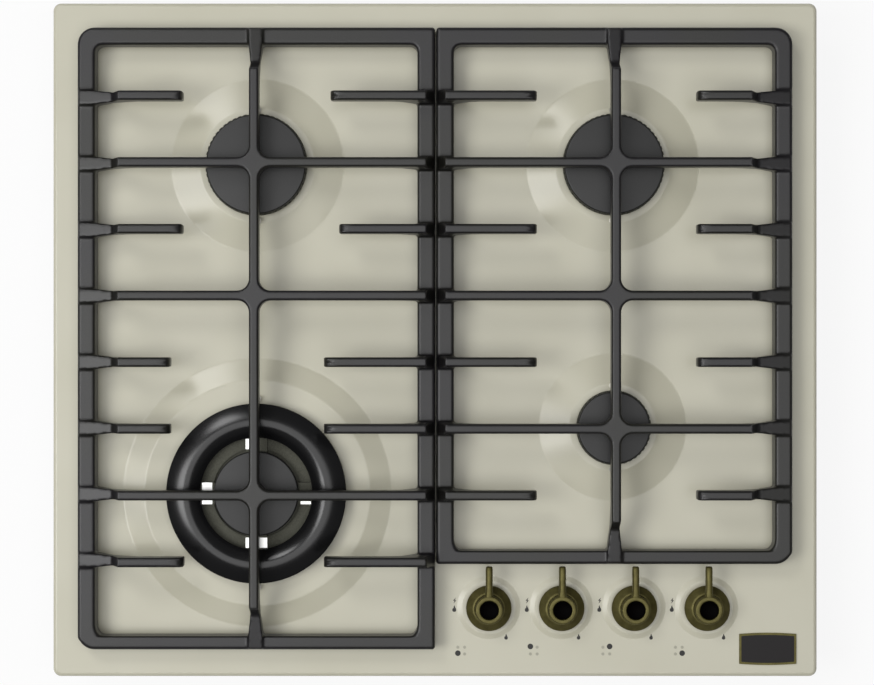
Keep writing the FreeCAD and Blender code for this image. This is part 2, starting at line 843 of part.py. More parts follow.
def single_crown(burner):
    """The aluminium flame spreader that stands in a cup, with ports around its wall."""
    at = burner["at"]
    outer = burner["cap"] + crown_overhang
    bore = burner["neck"] - cup_wall
    spigot = bore - fit_gap
    profile = [(spigot - cup_wall, flange_top - crown_spigot), (spigot, flange_top - crown_spigot),
               (spigot, flange_top), (outer - crown_deck, flange_top), (outer, flange_top + crown_deck),
               (outer, crown_top), (outer - crown_wall, crown_top),
               (outer - crown_wall, flange_top + crown_deck), (spigot - cup_wall, flange_top + crown_deck)]
    crown = turned(profile, at)
    slots = radial_slots(at, outer, crown_slot_depth, flange_top + crown_slot_floor, crown_top + 1,
                         crown_slot_pitch)
    return crown.cut(Part.makeCompound(slots))


def single_cap(burner):
    at, radius = burner["at"], burner["cap"]
    disc = cylinder(radius, crown_top, crown_top + cap_thickness, at)
    disc = disc.makeFillet(cap_edge_round, top_edges(disc, crown_top + cap_thickness))
    inner = radius + crown_overhang - crown_wall - fit_gap
    return disc.fuse(ring(inner, inner - cap_ring_wall, crown_top - cap_ring_depth, crown_top, at))


def large_cup():
    at = large_at
    cup = cylinder(large_neck, cup_floor_level, large_flange_top, at)
    cup = cup.fuse(cylinder(large_flange_radius, large_seat, large_flange_top, at))
    cup = cup.fuse(pipe_boss(at, large_neck, 0))
    cup = cup.cut(cylinder(large_neck - cup_wall, cup_floor_level + cup_floor, large_flange_top + 1, at))
    cup = cup.cut(gas_way(at, large_neck, 0))
    return cup.cut(screw_holes(flange_screw_places(at, large_screw_circle()), large_flange_top))


def large_crown():
    """One casting: a slotted core, an outer channel slotted on both sides, and four bridges."""
    at = large_at
    low, top = large_flange_top, large_crown_top
    spigot = large_neck - cup_wall - fit_gap
    core = turned([(spigot - cup_wall, low - crown_spigot), (spigot, low - crown_spigot),
                   (spigot, low + crown_deck), (large_core_radius, low + crown_deck),
                   (large_core_radius, top), (large_core_radius - crown_wall, top),
                   (large_core_radius - crown_wall, low + crown_deck), (spigot - cup_wall, low + crown_deck)],
                  at)
    channel_in = large_ring_inner + large_channel_margin_in
    channel_out = large_ring_outer - large_channel_margin_out
    deck = ring(channel_out - crown_deck, large_neck + fit_gap, low, low + crown_deck, at)
    walls = [ring(channel_out, channel_out - crown_wall, low + crown_deck / 2, top, at),
             ring(channel_in + crown_wall, channel_in, low, top, at)]
    bridge_in, bridge_out = large_core_radius - crown_wall + 1, channel_in + crown_wall - 1
    bridge = block(bridge_in, bridge_out, -large_bridge_width / 2, large_bridge_width / 2, low,
                   top - large_bridge_drop)
    bridges = [turned_to(bridge, 90 * k, at) for k in range(4)]
    crown = fused([deck, core] + walls)
    floor = low + crown_slot_floor
    slots = radial_slots(at, channel_out, crown_slot_depth, floor, top + 1, crown_slot_pitch)
    slots += radial_slots(at, channel_in, crown_slot_depth, floor, top + 1, 2 * crown_slot_pitch, True)
    slots += radial_slots(at, large_core_radius, crown_slot_depth, floor, top + 1, crown_slot_pitch)
    windows = ring(channel_in, large_core_radius + 0.01, low + crown_deck, top + 1, at)
    return crown.cut(Part.makeCompound(slots)).cut(windows).multiFuse(bridges).removeSplitter()


def large_outer_cap():
    """A ring with a round crest, hollow below, that closes the outer channel."""
    at = large_at
    low = large_crown_top
    crest = low + large_ring_rise
    edge = low + large_ring_edge
    outer, inner = large_ring_outer, large_ring_inner
    outer_foot, outer_edge = V(outer, 0, low), V(outer, 0, edge)
    inner_edge, inner_foot = V(inner, 0, edge), V(inner, 0, low)
    top = V(large_ring_crest, 0, crest)
    outer_way = V((outer + large_ring_crest) / 2 + large_ring_outer_lean, 0,
                  edge + (crest - edge) * large_ring_outer_rise)
    inner_way = V((inner + large_ring_crest) / 2 - large_ring_inner_lean, 0,
                  edge + (crest - edge) * large_ring_inner_rise)
    upper = [Part.makeLine(outer_foot, outer_edge), Part.Arc(outer_edge, outer_way, top).toShape(),
             Part.Arc(top, inner_way, inner_edge).toShape(), Part.makeLine(inner_edge, inner_foot),
             Part.makeLine(inner_foot, outer_foot)]
    body = Part.Face(Part.Wire(upper)).revolve(V(0, 0, 0), UP, 360)
    body.translate(V(at[0], at[1], 0))
    groove_out = outer - crown_wall - fit_gap
    groove_in = inner + crown_wall + fit_gap
    return body.cut(ring(groove_out, groove_in, low - 1, low + large_ring_edge, at))


def large_inner_cap():
    at = large_at
    low, top = large_crown_top, large_crown_top + large_cap_thickness
    disc = cylinder(large_cap_radius, low, top, at)
    disc = disc.makeFillet(cap_edge_round, top_edges(disc, top))
    inner = large_core_radius - crown_wall - fit_gap
    return disc.fuse(ring(inner, inner - cap_ring_wall, low - cap_ring_depth, low, at))


def injector(at):
    low = cup_floor_level + cup_floor
    body = hexagon(injector_flats, low, low + injector_height * 0.6, at)
    body = body.fuse(cone(injector_flats / 2, injector_flats / 3, low + injector_height * 0.6,
                          low + injector_height, at))
    return body.cut(cylinder(injector_bore, low - 1, low + injector_height + 1, at))


def electrode(at, seat, low, tip):
    ceramic = cylinder(electrode_radius, low, tip - 2 * electrode_tip, at)
    ceramic = ceramic.fuse(cylinder(electrode_collar, seat, seat + probe_collar_height, at))
    pin = cylinder(electrode_tip, tip - 2 * electrode_tip, tip, at)
    return [ceramic, pin]


def sensor(at, seat, tip):
    probe = cylinder(sensor_radius, seat - sensor_drop, tip, at)
    probe = probe.makeFillet(sensor_radius * 0.6, top_edges(probe, tip))
    return probe.fuse(cylinder(sensor_collar, seat, seat + probe_collar_height, at))


def probes():
    """Each burner's spark electrode and flame sensor, both hidden under its crossing bars."""
    sparks, sensors = [], []
    places = [(burner, seat_top, crown_top) for burner in single_burners.values()]
    places.append((large_probes(), large_seat, large_crown_top))
    for burner, seat, top in places:
        tip = top - probe_below_cap
        spark_at = polar(burner["at"], burner["probe"], burner["spark_side"])
        sparks += electrode(spark_at, seat, seat - electrode_drop, tip)
        sensors.append(sensor(polar(burner["at"], burner["probe"], burner["sensor_side"]), seat, tip))
    return sparks, sensors


# ---- Knobs and taps ----

def flatted(radius, flat, low, high, at):
    """A round shaft with one flat towards the rear, so that the knob fits one way only."""
    shaft = cylinder(radius, low, high, at)
    return shaft.cut(block(at[0] - radius, at[0] + radius, at[1] + flat, at[1] + radius + 1, low - 1,
                           high + 1))


def knob(at):
    """A round skirt, a hub with a sunk top, and a lever that points to the rear."""
    foot, top = knob_foot, knob_top
    shoulder = foot + knob_shoulder_rise
    waist = knob_hub_radius + knob_waist
    edge = foot + knob_edge
    skirt = turned([(0, edge), (0, shoulder), (waist, shoulder),
                    ((waist + knob_radius) / 2, (edge + shoulder) / 2 - knob_waist / 2),
                    (knob_radius - knob_edge_round, edge), (knob_radius, edge - knob_edge_round),
                    (knob_radius, foot + knob_edge_round), (knob_radius - knob_edge_round, foot),
                    (knob_radius - knob_wall, foot), (knob_radius - knob_wall, edge - knob_waist)], at)
    hub = cylinder(knob_hub_radius, edge, top, at)
    hub = hub.makeFillet(knob_top_round, top_edges(hub, top))
    lever_low, half_root, half_tip = top - lever_height, lever_root_width / 2, lever_width / 2
    tip = lever_reach - half_tip
    outline = [Part.makeLine(V(-half_root, 0, lever_low), V(-half_tip, knob_radius, lever_low)),
               Part.makeLine(V(-half_tip, knob_radius, lever_low), V(-half_tip, tip, lever_low)),
               Part.Arc(V(-half_tip, tip, lever_low), V(0, lever_reach, lever_low),
                        V(half_tip, tip, lever_low)).toShape(),
               Part.makeLine(V(half_tip, tip, lever_low), V(half_tip, knob_radius, lever_low)),
               Part.makeLine(V(half_tip, knob_radius, lever_low), V(half_root, 0, lever_low)),
               Part.makeLine(V(half_root, 0, lever_low), V(-half_root, 0, lever_low))]
    lever = prism(Part.Wire(outline), lever_height)
    edges = [edge for edge in top_edges(lever, top) if edge.CenterOfMass.y > 1]
    lever = lever.makeFillet(lever_round, edges)
    lever.translate(V(at[0], at[1], 0))
    body = fused([skirt, hub, lever])
    sunk = top - knob_insert_height - knob_insert_sunk
    body = body.cut(cylinder(knob_insert_radius + running_gap, sunk, top + 1, at))
    return body.cut(flatted(spindle_radius + running_gap, spindle_flat + running_gap, foot - 1,
                            foot + knob_bore_depth, at))


def knob_insert(at):
    low = knob_top - knob_insert_height - knob_insert_sunk
    disc = cylinder(knob_insert_radius, low, low + knob_insert_height, at)
    return disc.makeFillet(insert_round, top_edges(disc, low + knob_insert_height))


def tap_spindle(at):
    """The shaft that carries the knob, with the collar that its return spring lifts."""
    low = plug_top - spindle_engage
    shaft = flatted(spindle_radius, spindle_flat, low, knob_foot + knob_bore_depth - fit_gap, at)
    return shaft.fuse(cylinder(collar_radius, collar_under, collar_under + collar_height, at))


def tap_plug(at):
    """The cone that opens and shuts the gas way, with a socket for the spindle."""
    low = plug_top - plug_height
    body = cone(plug_foot_radius, plug_top_radius, low, plug_top, at)
    body = body.cut(flatted(spindle_radius + running_gap, spindle_flat + running_gap,
                            plug_top - socket_depth, plug_top + 1, at))
    way = rod(pipe_bore, V(at[0] - 2 * plug_top_radius, at[1], pipe_level), V(at[0], at[1], pipe_level))
    return body.cut(way)


def tap_body(at):
    """The cast body on the rail with its tapered seat and outlet, and the cover over the spring."""
    x, y = at
    half = tap_body_half
    low, top = tap_floor_level, tap_top
    body = block(x - half, x + half, y - half, rail_y, low, pipe_level - 1)
    body = body.fuse(block(x - half, x + half, y - half, y + half, pipe_level - 1, top))
    body = body.fuse(rod(pipe_boss_radius, V(x, y + half - 2, pipe_level),
                         V(x, y + half + outlet_length, pipe_level)))
    body = body.cut(rod(rail_radius, V(x - half - 1, rail_y, rail_level), V(x + half + 1, rail_y, rail_level)))
    seat = cone(plug_foot_radius + plug_gap, plug_top_radius + plug_gap, plug_top - plug_height, plug_top,
                at)
    seat = seat.fuse(cylinder(plug_foot_radius + plug_gap, plug_top - plug_height - 2, plug_top - plug_height,
                              at))
    seat = seat.fuse(cylinder(plug_top_radius + plug_gap, plug_top, top + 1, at))
    outlet = rod(pipe_bore, V(x, y + plug_top_radius, pipe_level), V(x, y + half + outlet_length + 1,
                                                                    pipe_level))
    body = body.cut(seat).cut(outlet)
    cover = cylinder(tap_cover_radius, top, top + tap_cover_height + tap_cover_wall, at)
    chamber_top = collar_under + collar_height + collar_play
    cover = cover.cut(cylinder(tap_cover_radius - tap_cover_wall, top - 1, chamber_top, at))
    cover = cover.cut(cylinder(spindle_radius + spindle_clearance, top - 1, top + 2 * tap_cover_height, at))
    return [body, cover]


def tap_spring(at):
    """The return spring between the plug and the spindle's collar, coiled in short arcs."""
    height = spring_height - 2 * spring_wire - 2 * running_gap
    steps = int(spring_turns * spring_arcs)
    corner = spring_radius / cos(pi / spring_arcs)
    points = [polar((0, 0), corner, 360 * k / spring_arcs) for k in range(steps + 1)]
    route = bent_route([V(x, y, height * k / steps) for k, (x, y) in enumerate(points)], None)[0]
    spring = swept(route, spring_wire)
    spring.translate(V(at[0], at[1], plug_top + spring_wire + running_gap))
    return spring


def spindle_seal(at):
    """A rubber ring in the plate's hole, around the spindle."""
    skin = knob_seat_level - plate_sheet
    seal = cylinder(spindle_hole - running_gap, skin, knob_seat_level, at)
    seal = seal.fuse(cylinder(spindle_seal_flange, knob_seat_level, knob_seat_level + spindle_seal_height,
                              at))
    return seal.cut(cylinder(spindle_radius + spindle_clearance, skin - 1, knob_seat_level + 5, at))


# ---- Gas supply ----

def gas_rail():
    """The pipe behind the taps, bent at its right end towards the inlet, on two brackets."""
    start_x = knob_places[0] - 2 * tap_body_half
    points = [V(start_x, rail_y, rail_level), V(inlet_x, rail_y, rail_level),
              V(inlet_x, inlet_wall_y - tray_sheet - inlet_collar_length, rail_level)]
    route = bent_route(points, rail_bend)[0]
    pipe = swept(route, rail_radius)
    brackets = []
    for k in range(knob_count - 1):
        x = (knob_places[k] + knob_places[k + 1]) / 2
        brackets.append(block(x - rail_bracket_width / 2, x + rail_bracket_width / 2,
                              rail_y - rail_radius, rail_y + rail_radius, tray_sheet, rail_level))
    bore = swept(bent_route([points[0] + V(rail_wall, 0, 0)] + points[1:], rail_bend)[0],
                 rail_radius - rail_wall)
    return fused([pipe] + brackets).cut(bore)


def pipe_routes():
    """The four burner pipes, from each tap's outlet to its burner's cup."""
    start_y = knob_y + tap_body_half + outlet_length
    x1, x2, x3, x4 = knob_places[:4]
    rear_left, rear_right, small = (single_burners[name] for name in
                                    ("rear_left", "rear_right", "front_right"))
    ends = [polar(large_at, large_neck + pipe_boss_length, 0)]
    ends += [polar(burner["at"], burner["neck"] + pipe_boss_length, burner["pipe_side"])
             for burner in (rear_left, rear_right, small)]
    lists = [[(x1, start_y), (x1, ends[0][1]), ends[0]],
             [(x2, start_y), (x2, turn_rear_left), (lane_rear_left, turn_rear_left),
              (lane_rear_left, ends[1][1]), ends[1]],
             [(x3, start_y), (x3, turn_rear_right), (lane_rear_right, turn_rear_right),
              (lane_rear_right, ends[2][1]), ends[2]],
             [(x4, start_y), (x4, ends[3][1]), ends[3]]]
    return [[V(x, y, pipe_level) for x, y in points] for points in lists]


def burner_pipes():
    pipes = []
    for points in pipe_routes():
        route = bent_route(points, pipe_bend)[0]
        pipes.append(swept(route, pipe_radius).cut(swept(route, pipe_bore)))
    return pipes


def gas_inlet():
    """The threaded stub that the house's gas pipe screws onto, held in the recess's wall."""
    wall = inlet_wall_y
    inside = wall - tray_sheet
    z = rail_level
    body = rod(inlet_collar_radius, V(inlet_x, inside - inlet_collar_length, z), V(inlet_x, inside, z))
    neck = rod(inlet_bore + rail_wall, V(inlet_x, inside, z), V(inlet_x, wall, z))
    collar = rod(inlet_collar_radius, V(inlet_x, wall, z), V(inlet_x, wall + inlet_collar_length, z))
    end = wall + inlet_collar_length + inlet_thread_length
    thread = rod(inlet_thread_radius, V(inlet_x, wall + inlet_collar_length, z), V(inlet_x, end, z))
    bore = rod(inlet_bore, V(inlet_x, inside - inlet_collar_length - 1, z), V(inlet_x, end + 1, z))
    return fused([body, neck, collar, thread]).cut(bore)


# ---- Hold-down clamps and fixings ----

def clamp_sides():
    return [(-1, -1), (1, -1), (1, 1), (-1, 1)]


def clamp_pivot(side_x, side_y):
    return (side_x * clamp_x, side_y * (tray_depth / 2 - clamp_from_wall))


def hold_down_clamp(side_x, side_y):
    """A steel strip on a bush, parked along the tray's edge, that swings out under the worktop."""
    half = clamp_width / 2
    arm = cylinder(half, clamp_level, clamp_level + clamp_sheet)
    arm = arm.fuse(block(0, clamp_length, -half, half, clamp_level, clamp_level + clamp_sheet))
    arm = arm.fuse(block(clamp_length - clamp_sheet, clamp_length, -half, half,
                         clamp_level, clamp_ceiling - clamp_tip_room))
    arm = arm.fuse(cylinder(clamp_bush_radius, clamp_level, clamp_ceiling - clamp_play))
    arm = arm.cut(cylinder(clamp_screw_radius + running_gap, clamp_level - 1, clamp_ceiling + 1))
    return turned_to(arm, 0 if side_x < 0 else 180, clamp_pivot(side_x, side_y))


def fixing_screws():
    """Clamp screws, nuts on the plate's studs, and the burner cups' screws with their nuts."""
    pieces = []
    for sides in clamp_sides():
        at = clamp_pivot(*sides)
        head_top = clamp_level - clamp_play
        screw = cylinder(clamp_screw_radius, head_top, clamp_ceiling + clamp_screw_rise, at)
        pieces.append(screw.fuse(cylinder(clamp_screw_head_radius, head_top - clamp_screw_head, head_top, at)))
    for place in stud_places():
        nut = hexagon(nut_flats, lip_under - nut_height, lip_under, place)
        pieces.append(nut.cut(cylinder(stud_radius, worktop_level - 1, rim_top, place)))
    seats = [(burner["at"], single_screw_circle(burner), flange_top)
             for burner in single_burners.values()]
    seats.append((large_at, large_screw_circle(), large_flange_top))
    for at, circle, level in seats:
        for place in flange_screw_places(at, circle):
            pieces.append(cup_screw(place, level))
            under = level - cup_flange - plate_sheet
            nut = hexagon(nut_flats, under - nut_height, under, place)
            pieces.append(nut.cut(cylinder(stud_radius, under - nut_height - 1, under + 1, place)))
    return pieces


def cup_screw(place, level):
    head = cone(stud_radius, 2 * stud_radius, level - stud_radius, level, place)
    length = cup_flange + plate_sheet + nut_height + 1
    return head.fuse(cylinder(stud_radius, level - length, level - stud_radius, place))


# ---- Ignition ----

def spark_generator():
    """The box that makes the sparks, with an ear on each side that rests on the tray."""
    low, high = tray_sheet, tray_sheet + generator_height
    body = rounded_block(generator_width / 2, generator_depth / 2, generator_round, low, high,
                         (generator_x, generator_y))
    ears = block(generator_x - generator_width / 2 - generator_ear,
                 generator_x + generator_width / 2 + generator_ear, generator_y - generator_ear / 2,
                 generator_y + generator_ear / 2, low, low + generator_ear_height)
    return body.fuse(ears).removeSplitter()


def terminal_box():
    """The box with the mains terminals; its gland reaches through the recess's wall."""
    face = inlet_wall_y - tray_sheet
    low, high = tray_sheet, tray_sheet + terminal_height
    x0, x1 = gland_x - terminal_width / 2, gland_x + terminal_width / 2
    wall = terminal_wall
    box = block(x0, x1, face - terminal_depth, face, low, high)
    box = box.cut(block(x0 + wall, x1 - wall, face - terminal_depth + wall, face - wall, low + wall,
                        high - wall))
    start, end = face - wall, face - wall + gland_length
    neck = rod(gland_radius - wall, V(gland_x, start, gland_level), V(gland_x, inlet_wall_y, gland_level))
    nose = rod(gland_radius, V(gland_x, inlet_wall_y, gland_level), V(gland_x, end, gland_level))
    bore = rod(gland_bore, V(gland_x, start - 1, gland_level), V(gland_x, end + 1, gland_level))
    return fused([box, neck, nose]).cut(bore)


def lead_routes():
    """The sparking leads, from the generator's sides to the foot of each electrode."""
    left = generator_x - generator_width / 2
    right = generator_x + generator_width / 2
    z = lead_level
    low_single = seat_top - electrode_drop
    low_large = large_seat - electrode_drop
    feet = {name: polar(burner["at"], burner["probe"], burner["spark_side"])
            for name, burner in single_burners.items()}
    x1, y1 = feet["rear_left"]
    x2, y2 = polar(large_at, large_probe, 90)
    x3, y3 = feet["rear_right"]
    x4, y4 = feet["front_right"]
    return [
        [(left, 38, z), (-25, 38, z), (-58, 52, z), (-92, 72, z), (x1 + 20, y1, z + 1),
         (x1, y1, z + 8), (x1, y1, low_single)],
        [(left, 22, z), (-25, 22, z), (-62, 6, z), (-98, -18, z), (x2 + 18, y2 + 4, z + 1),
         (x2, y2, z + 8), (x2, y2, low_large)],
        [(right, 38, z), (98, 38, z), (115, 54, z), (126, 74, z + 1), (x3, y3, z + 9),
         (x3, y3, low_single)],
        [(right, 22, z), (98, 22, z), (115, 5, z), (127, -17, z + 1), (x4, y4, z + 9),
         (x4, y4, low_single)],
    ]


def ignition_leads():
    leads = []
    for number, points in enumerate(lead_routes(), 1):
        route, radii = bent_route([V(*point) for point in points], None)
        lead = swept(route, lead_radius)
        share = lead.Volume / (pi * lead_radius ** 2 * route.Length)
        print("lead", number, "bends", [round(r, 1) for r in radii], "volume share", round(share, 4))
        leads.append(lead)
    return leads


# ---- All nodes ----

def main():
    os.makedirs("parts", exist_ok=True)
    save("hob_plate", hob_plate())
    save("burner_tray", burner_tray())
    save("flange_seal", flange_seal())
    save("badge", badge())
    save("fixing_screws", *fixing_screws())
    for number, sides in enumerate(clamp_sides(), 1):
        save("hold_down_clamp_%d" % number, hold_down_clamp(*sides))
    save("left_pan_support", pan_support(support_left, left_seam, left_front, True, left_full_rows,
                                         left_fingers))
    save("right_pan_support", pan_support(right_seam, support_right, right_front, False, right_full_rows,
                                          right_fingers))
    save("left_support_feet", *support_feet(support_left, left_seam, left_front))
    save("right_support_feet", *support_feet(right_seam, support_right, right_front))
    for name, burner in single_burners.items():
        save(name + "_burner_cup", single_cup(burner))
        save(name + "_flame_spreader", single_crown(burner))
        save(name + "_burner_cap", single_cap(burner))
    save("front_left_burner_cup", large_cup())
    save("front_left_flame_spreader", large_crown())
    save("front_left_outer_cap", large_outer_cap())
    save("front_left_inner_cap", large_inner_cap())
    save("injectors", *[injector(at) for at in burner_places()])
    sparks, sensors = probes()
    save("spark_electrodes", *sparks)
    save("flame_sensors", *sensors)
    for number, x in enumerate(knob_places, 1):
        at = (x, knob_y)
        save("knob_%d" % number, knob(at))
        save("knob_insert_%d" % number, knob_insert(at))
        save("tap_spindle_%d" % number, tap_spindle(at))
        save("tap_plug_%d" % number, tap_plug(at))
        save("tap_spring_%d" % number, tap_spring(at))
        save("tap_body_%d" % number, *tap_body(at))
    save("spindle_seals", *[spindle_seal((x, knob_y)) for x in knob_places])
    save("gas_rail", gas_rail())
    save("burner_pipes", *burner_pipes())
    save("gas_inlet", gas_inlet())
    save("spark_generator", spark_generator())
    save("terminal_box", terminal_box())
    save("ignition_leads", *ignition_leads())


main()
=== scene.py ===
# %% [markdown]
# # A built-in gas cooktop
# The real one is a pressed and enamelled steel plate with four gas burners, two cast-iron pan supports
# and a row of lever knobs. Its measured solids come from the CAD model. This lesson dresses them: it gives
# every surface its real finish, and it makes the pieces that need finer forms than the solids have.

import math

import bmesh
import bpy
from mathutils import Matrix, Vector


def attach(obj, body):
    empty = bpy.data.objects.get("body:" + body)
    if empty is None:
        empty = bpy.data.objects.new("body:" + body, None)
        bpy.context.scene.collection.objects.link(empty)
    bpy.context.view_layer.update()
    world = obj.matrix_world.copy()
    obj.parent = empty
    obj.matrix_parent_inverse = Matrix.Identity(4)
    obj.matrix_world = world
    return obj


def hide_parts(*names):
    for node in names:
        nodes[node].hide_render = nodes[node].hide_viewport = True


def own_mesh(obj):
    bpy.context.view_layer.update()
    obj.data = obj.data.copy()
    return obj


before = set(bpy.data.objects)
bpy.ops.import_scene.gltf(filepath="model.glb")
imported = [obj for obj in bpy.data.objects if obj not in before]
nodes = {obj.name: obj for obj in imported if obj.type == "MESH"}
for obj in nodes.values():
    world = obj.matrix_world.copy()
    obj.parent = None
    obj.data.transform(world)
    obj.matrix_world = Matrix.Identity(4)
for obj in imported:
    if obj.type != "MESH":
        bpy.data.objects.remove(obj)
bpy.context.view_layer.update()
mm = 0.001

# %% [markdown]
# ## Camera
# The photo looks straight down on the plate, so the camera hangs above its middle, with a shift of a few
# millimetres that was measured on the picture. It hangs nearly two metres up, because the knobs lean
# outwards only a little. The picture is 874 x 685 pixels, and the lens is chosen so that the plate's depth
# of 520 mm fills the height as it does there. All lengths in this lesson are in mm until they meet Blender,
# which counts in metres.

# %% Hang the camera over the plate
image_width = 874
pixels_per_mm = 1.295
plate_top = 56.5
camera_height = 1900.0
camera_shift = (1.5, -2.1)
sensor_width = 36.0

camera_data = bpy.data.cameras.new("camera")
camera_data.sensor_width = sensor_width
camera_data.lens = sensor_width * camera_height * pixels_per_mm / image_width
camera = bpy.data.objects.new("camera", camera_data)
camera.location = Vector((*camera_shift, plate_top + camera_height)) * mm
bpy.context.scene.collection.objects.link(camera)
bpy.context.scene.camera = camera
bpy.context.scene.view_settings.view_transform = "Standard"
print("lens in mm", round(camera_data.lens, 1))

# %% [markdown]
# ## Small helpers
# Colours are written as sRGB hex values, as they are read from a picture. Blender computes with linear
# light, so one function turns them over. One more function adds a shader node with its settings and links.
# Most finishes are made of the same three parts, so each part has a function: a cloudy pattern of a real
# size, two tones that follow a pattern, and a shallow relief that follows it too.

# %% Colours and shader nodes


def colour(hex_value):
    """An sRGB colour such as "C9C6B4" as linear red, green, blue and alpha."""
    parts = [int(hex_value[k:k + 2], 16) / 255 for k in (0, 2, 4)]
    linear = [v / 12.92 if v <= 0.04045 else ((v + 0.055) / 1.055) ** 2.4 for v in parts]
    return (*linear, 1.0)


def put(tree, kind, inputs=None, **settings):
    """Adds a shader node. An input is a value, or another node's output, which is linked."""
    node = tree.nodes.new("ShaderNode" + kind)
    for name, value in settings.items():
        setattr(node, name, value)
    for place, value in (inputs or {}).items():
        if isinstance(value, bpy.types.NodeSocket):
            tree.links.new(value, node.inputs[place])
        else:
            node.inputs[place].default_value = value
    return node


def finish(name, inputs):
    """A new material, with plain values set on its shader."""
    made = bpy.data.materials.new(name)
    made.use_nodes = True
    shader = made.node_tree.nodes["Principled BSDF"]
    for place, value in inputs.items():
        shader.inputs[place].default_value = value
    return made, made.node_tree, shader


def noise(tree, size, detail):
    """A cloudy pattern that is fixed to the object. Its clouds are about as wide as size, in mm."""
    place = put(tree, "TexCoord")
    clouds = put(tree, "TexNoise", {"Vector": place.outputs["Object"], "Scale": 1 / (size * mm),
                                    "Detail": detail})
    return clouds.outputs["Fac"]


def two_tones(tree, pattern, dark, light, low, high):
    """The dark colour where the pattern is below low, the light one above high, and a mix between."""
    ramp = put(tree, "ValToRGB", {"Fac": pattern})
    for end, (position, tone) in enumerate(((low, dark), (high, light))):
        ramp.color_ramp.elements[end].position = position
        ramp.color_ramp.elements[end].color = colour(tone)
    return ramp.outputs["Color"]


def relief(tree, shader, pattern, depth, strength):
    """Raises the surface where the pattern is high, by up to depth in mm."""
    bump = put(tree, "Bump", {"Height": pattern, "Distance": depth * mm, "Strength": strength})
    tree.links.new(bump.outputs["Normal"], shader.inputs["Normal"])


# %% [markdown]
# ## Floor, background and light
# The photo has a plain white ground. Its light is soft and comes from three sides. The seats' left slopes
# are bright and their right slopes are dark, so a wide lamp, the window, stands on the left. The large
# burner's ring carries a streak on its rear left slope, which a smaller lamp at the rear left gives. The
# flat black tops look dark grey because they mirror a pale ceiling, so a very wide lamp hangs above.
# The sky is white where the camera sees it. For everything else it is faint, as a white sky would also
# show in the black enamels and turn every slope grey, while in the photo slopes and steps are black.

# %% Sky
sky_strength = 0.12

world = bpy.data.worlds.new("studio")
bpy.context.scene.world = world
world.use_nodes = True
sky = world.node_tree
sky.nodes.clear()
path = put(sky, "LightPath")
strength = put(sky, "MapRange", {"Value": path.outputs["Is Camera Ray"], "To Min": sky_strength,
                                 "To Max": 1.0})
background = put(sky, "Background", {"Color": (1.0, 1.0, 1.0, 1.0), "Strength": strength.outputs[0]})
put(sky, "OutputWorld", {"Surface": background.outputs[0]})
print("sky strength for the camera 1.0, for all else", sky_strength)

# %% Floor
# The floor takes the shadow, but the camera sees most of its white as given, so it stays even.
floor_side = 12.0
floor_drop = 0.3
even_white = 0.88

floor_mesh = bpy.data.meshes.new("floor")
corner = floor_side / 2
floor_mesh.from_pydata([(-corner, -corner, 0), (corner, -corner, 0), (corner, corner, 0),
                        (-corner, corner, 0)], [], [(0, 1, 2, 3)])
floor = bpy.data.objects.new("floor", floor_mesh)
floor.location.z = -floor_drop * mm
bpy.context.scene.collection.objects.link(floor)

pale, tree, shader = finish("pale_floor", {"Base Color": colour("F4F4F4"), "Roughness": 0.9,
                                           "Specular IOR Level": 0.0})
path = put(tree, "LightPath")
white = put(tree, "Emission", {"Color": (1.0, 1.0, 1.0, 1.0), "Strength": 1.0})
share = put(tree, "Math", {0: path.outputs["Is Camera Ray"], 1: even_white}, operation="MULTIPLY")
both = put(tree, "MixShader", {0: share.outputs[0], 1: shader.outputs[0], 2: white.outputs[0]})
tree.links.new(both.outputs[0], tree.nodes["Material Output"].inputs["Surface"])
floor_mesh.materials.append(pale)
print("floor side in m", floor_side)

# %% Lamps


def lamp(name, azimuth, elevation, distance, size, power):
    """A round soft lamp that shines at the plate's middle, in degrees, metres and watts.

    Azimuth 0 is the right side and 90 is the rear.
    """
    data = bpy.data.lights.new(name, "AREA")
    data.shape = "DISK"
    data.size = size
    data.energy = power
    a, e = math.radians(azimuth), math.radians(elevation)
    way = Vector((math.cos(a) * math.cos(e), math.sin(a) * math.cos(e), math.sin(e)))
    thing = bpy.data.objects.new(name, data)
    thing.location = way * distance + Vector((0, 0, plate_top * mm))
    thing.rotation_euler = way.to_track_quat("Z", "Y").to_euler()
    bpy.context.scene.collection.objects.link(thing)
    print(name, "power in W", power)


lamp("window", azimuth=188, elevation=57, distance=3.0, size=1.4, power=31.8)
lamp("rear_left_softbox", azimuth=128, elevation=52, distance=3.0, size=0.85, power=13.5)
lamp("ceiling_softbox", azimuth=285, elevation=85, distance=3.0, size=2.8, power=37.4)

# %% [markdown]
# ## Vitreous enamel on the plate
# The plate is pressed steel with a cream-coloured glass enamel, fired on. Enamel is glass, so its IOR is
# 1.5 and its gloss is even, but this one is fired satin. It flows a little before it sets, which leaves a
# very shallow orange peel of about 2 mm, and its colour drifts by a few percent over a hand's width.
# A plain diffuse cream would look like paper, and a clear gloss would mirror the lamps with sharp edges.

# %% Enamel, satin
# Gives the eye a warm cream skin whose lights fade softly at their edges.
enamel, tree, shader = finish("satin_vitreous_enamel_cream", {"Roughness": 0.25, "IOR": 1.5})
drift = noise(tree, size=70, detail=2.0)
orange_peel = noise(tree, size=2.2, detail=1.0)
tone = two_tones(tree, drift, "C7C4B0", "CCC9B6", 0.3, 0.7)
tree.links.new(tone, shader.inputs["Base Color"])
relief(tree, shader, orange_peel, depth=0.012, strength=0.6)
print("enamel drifts over 70 mm, with an orange peel of 2.2 mm")

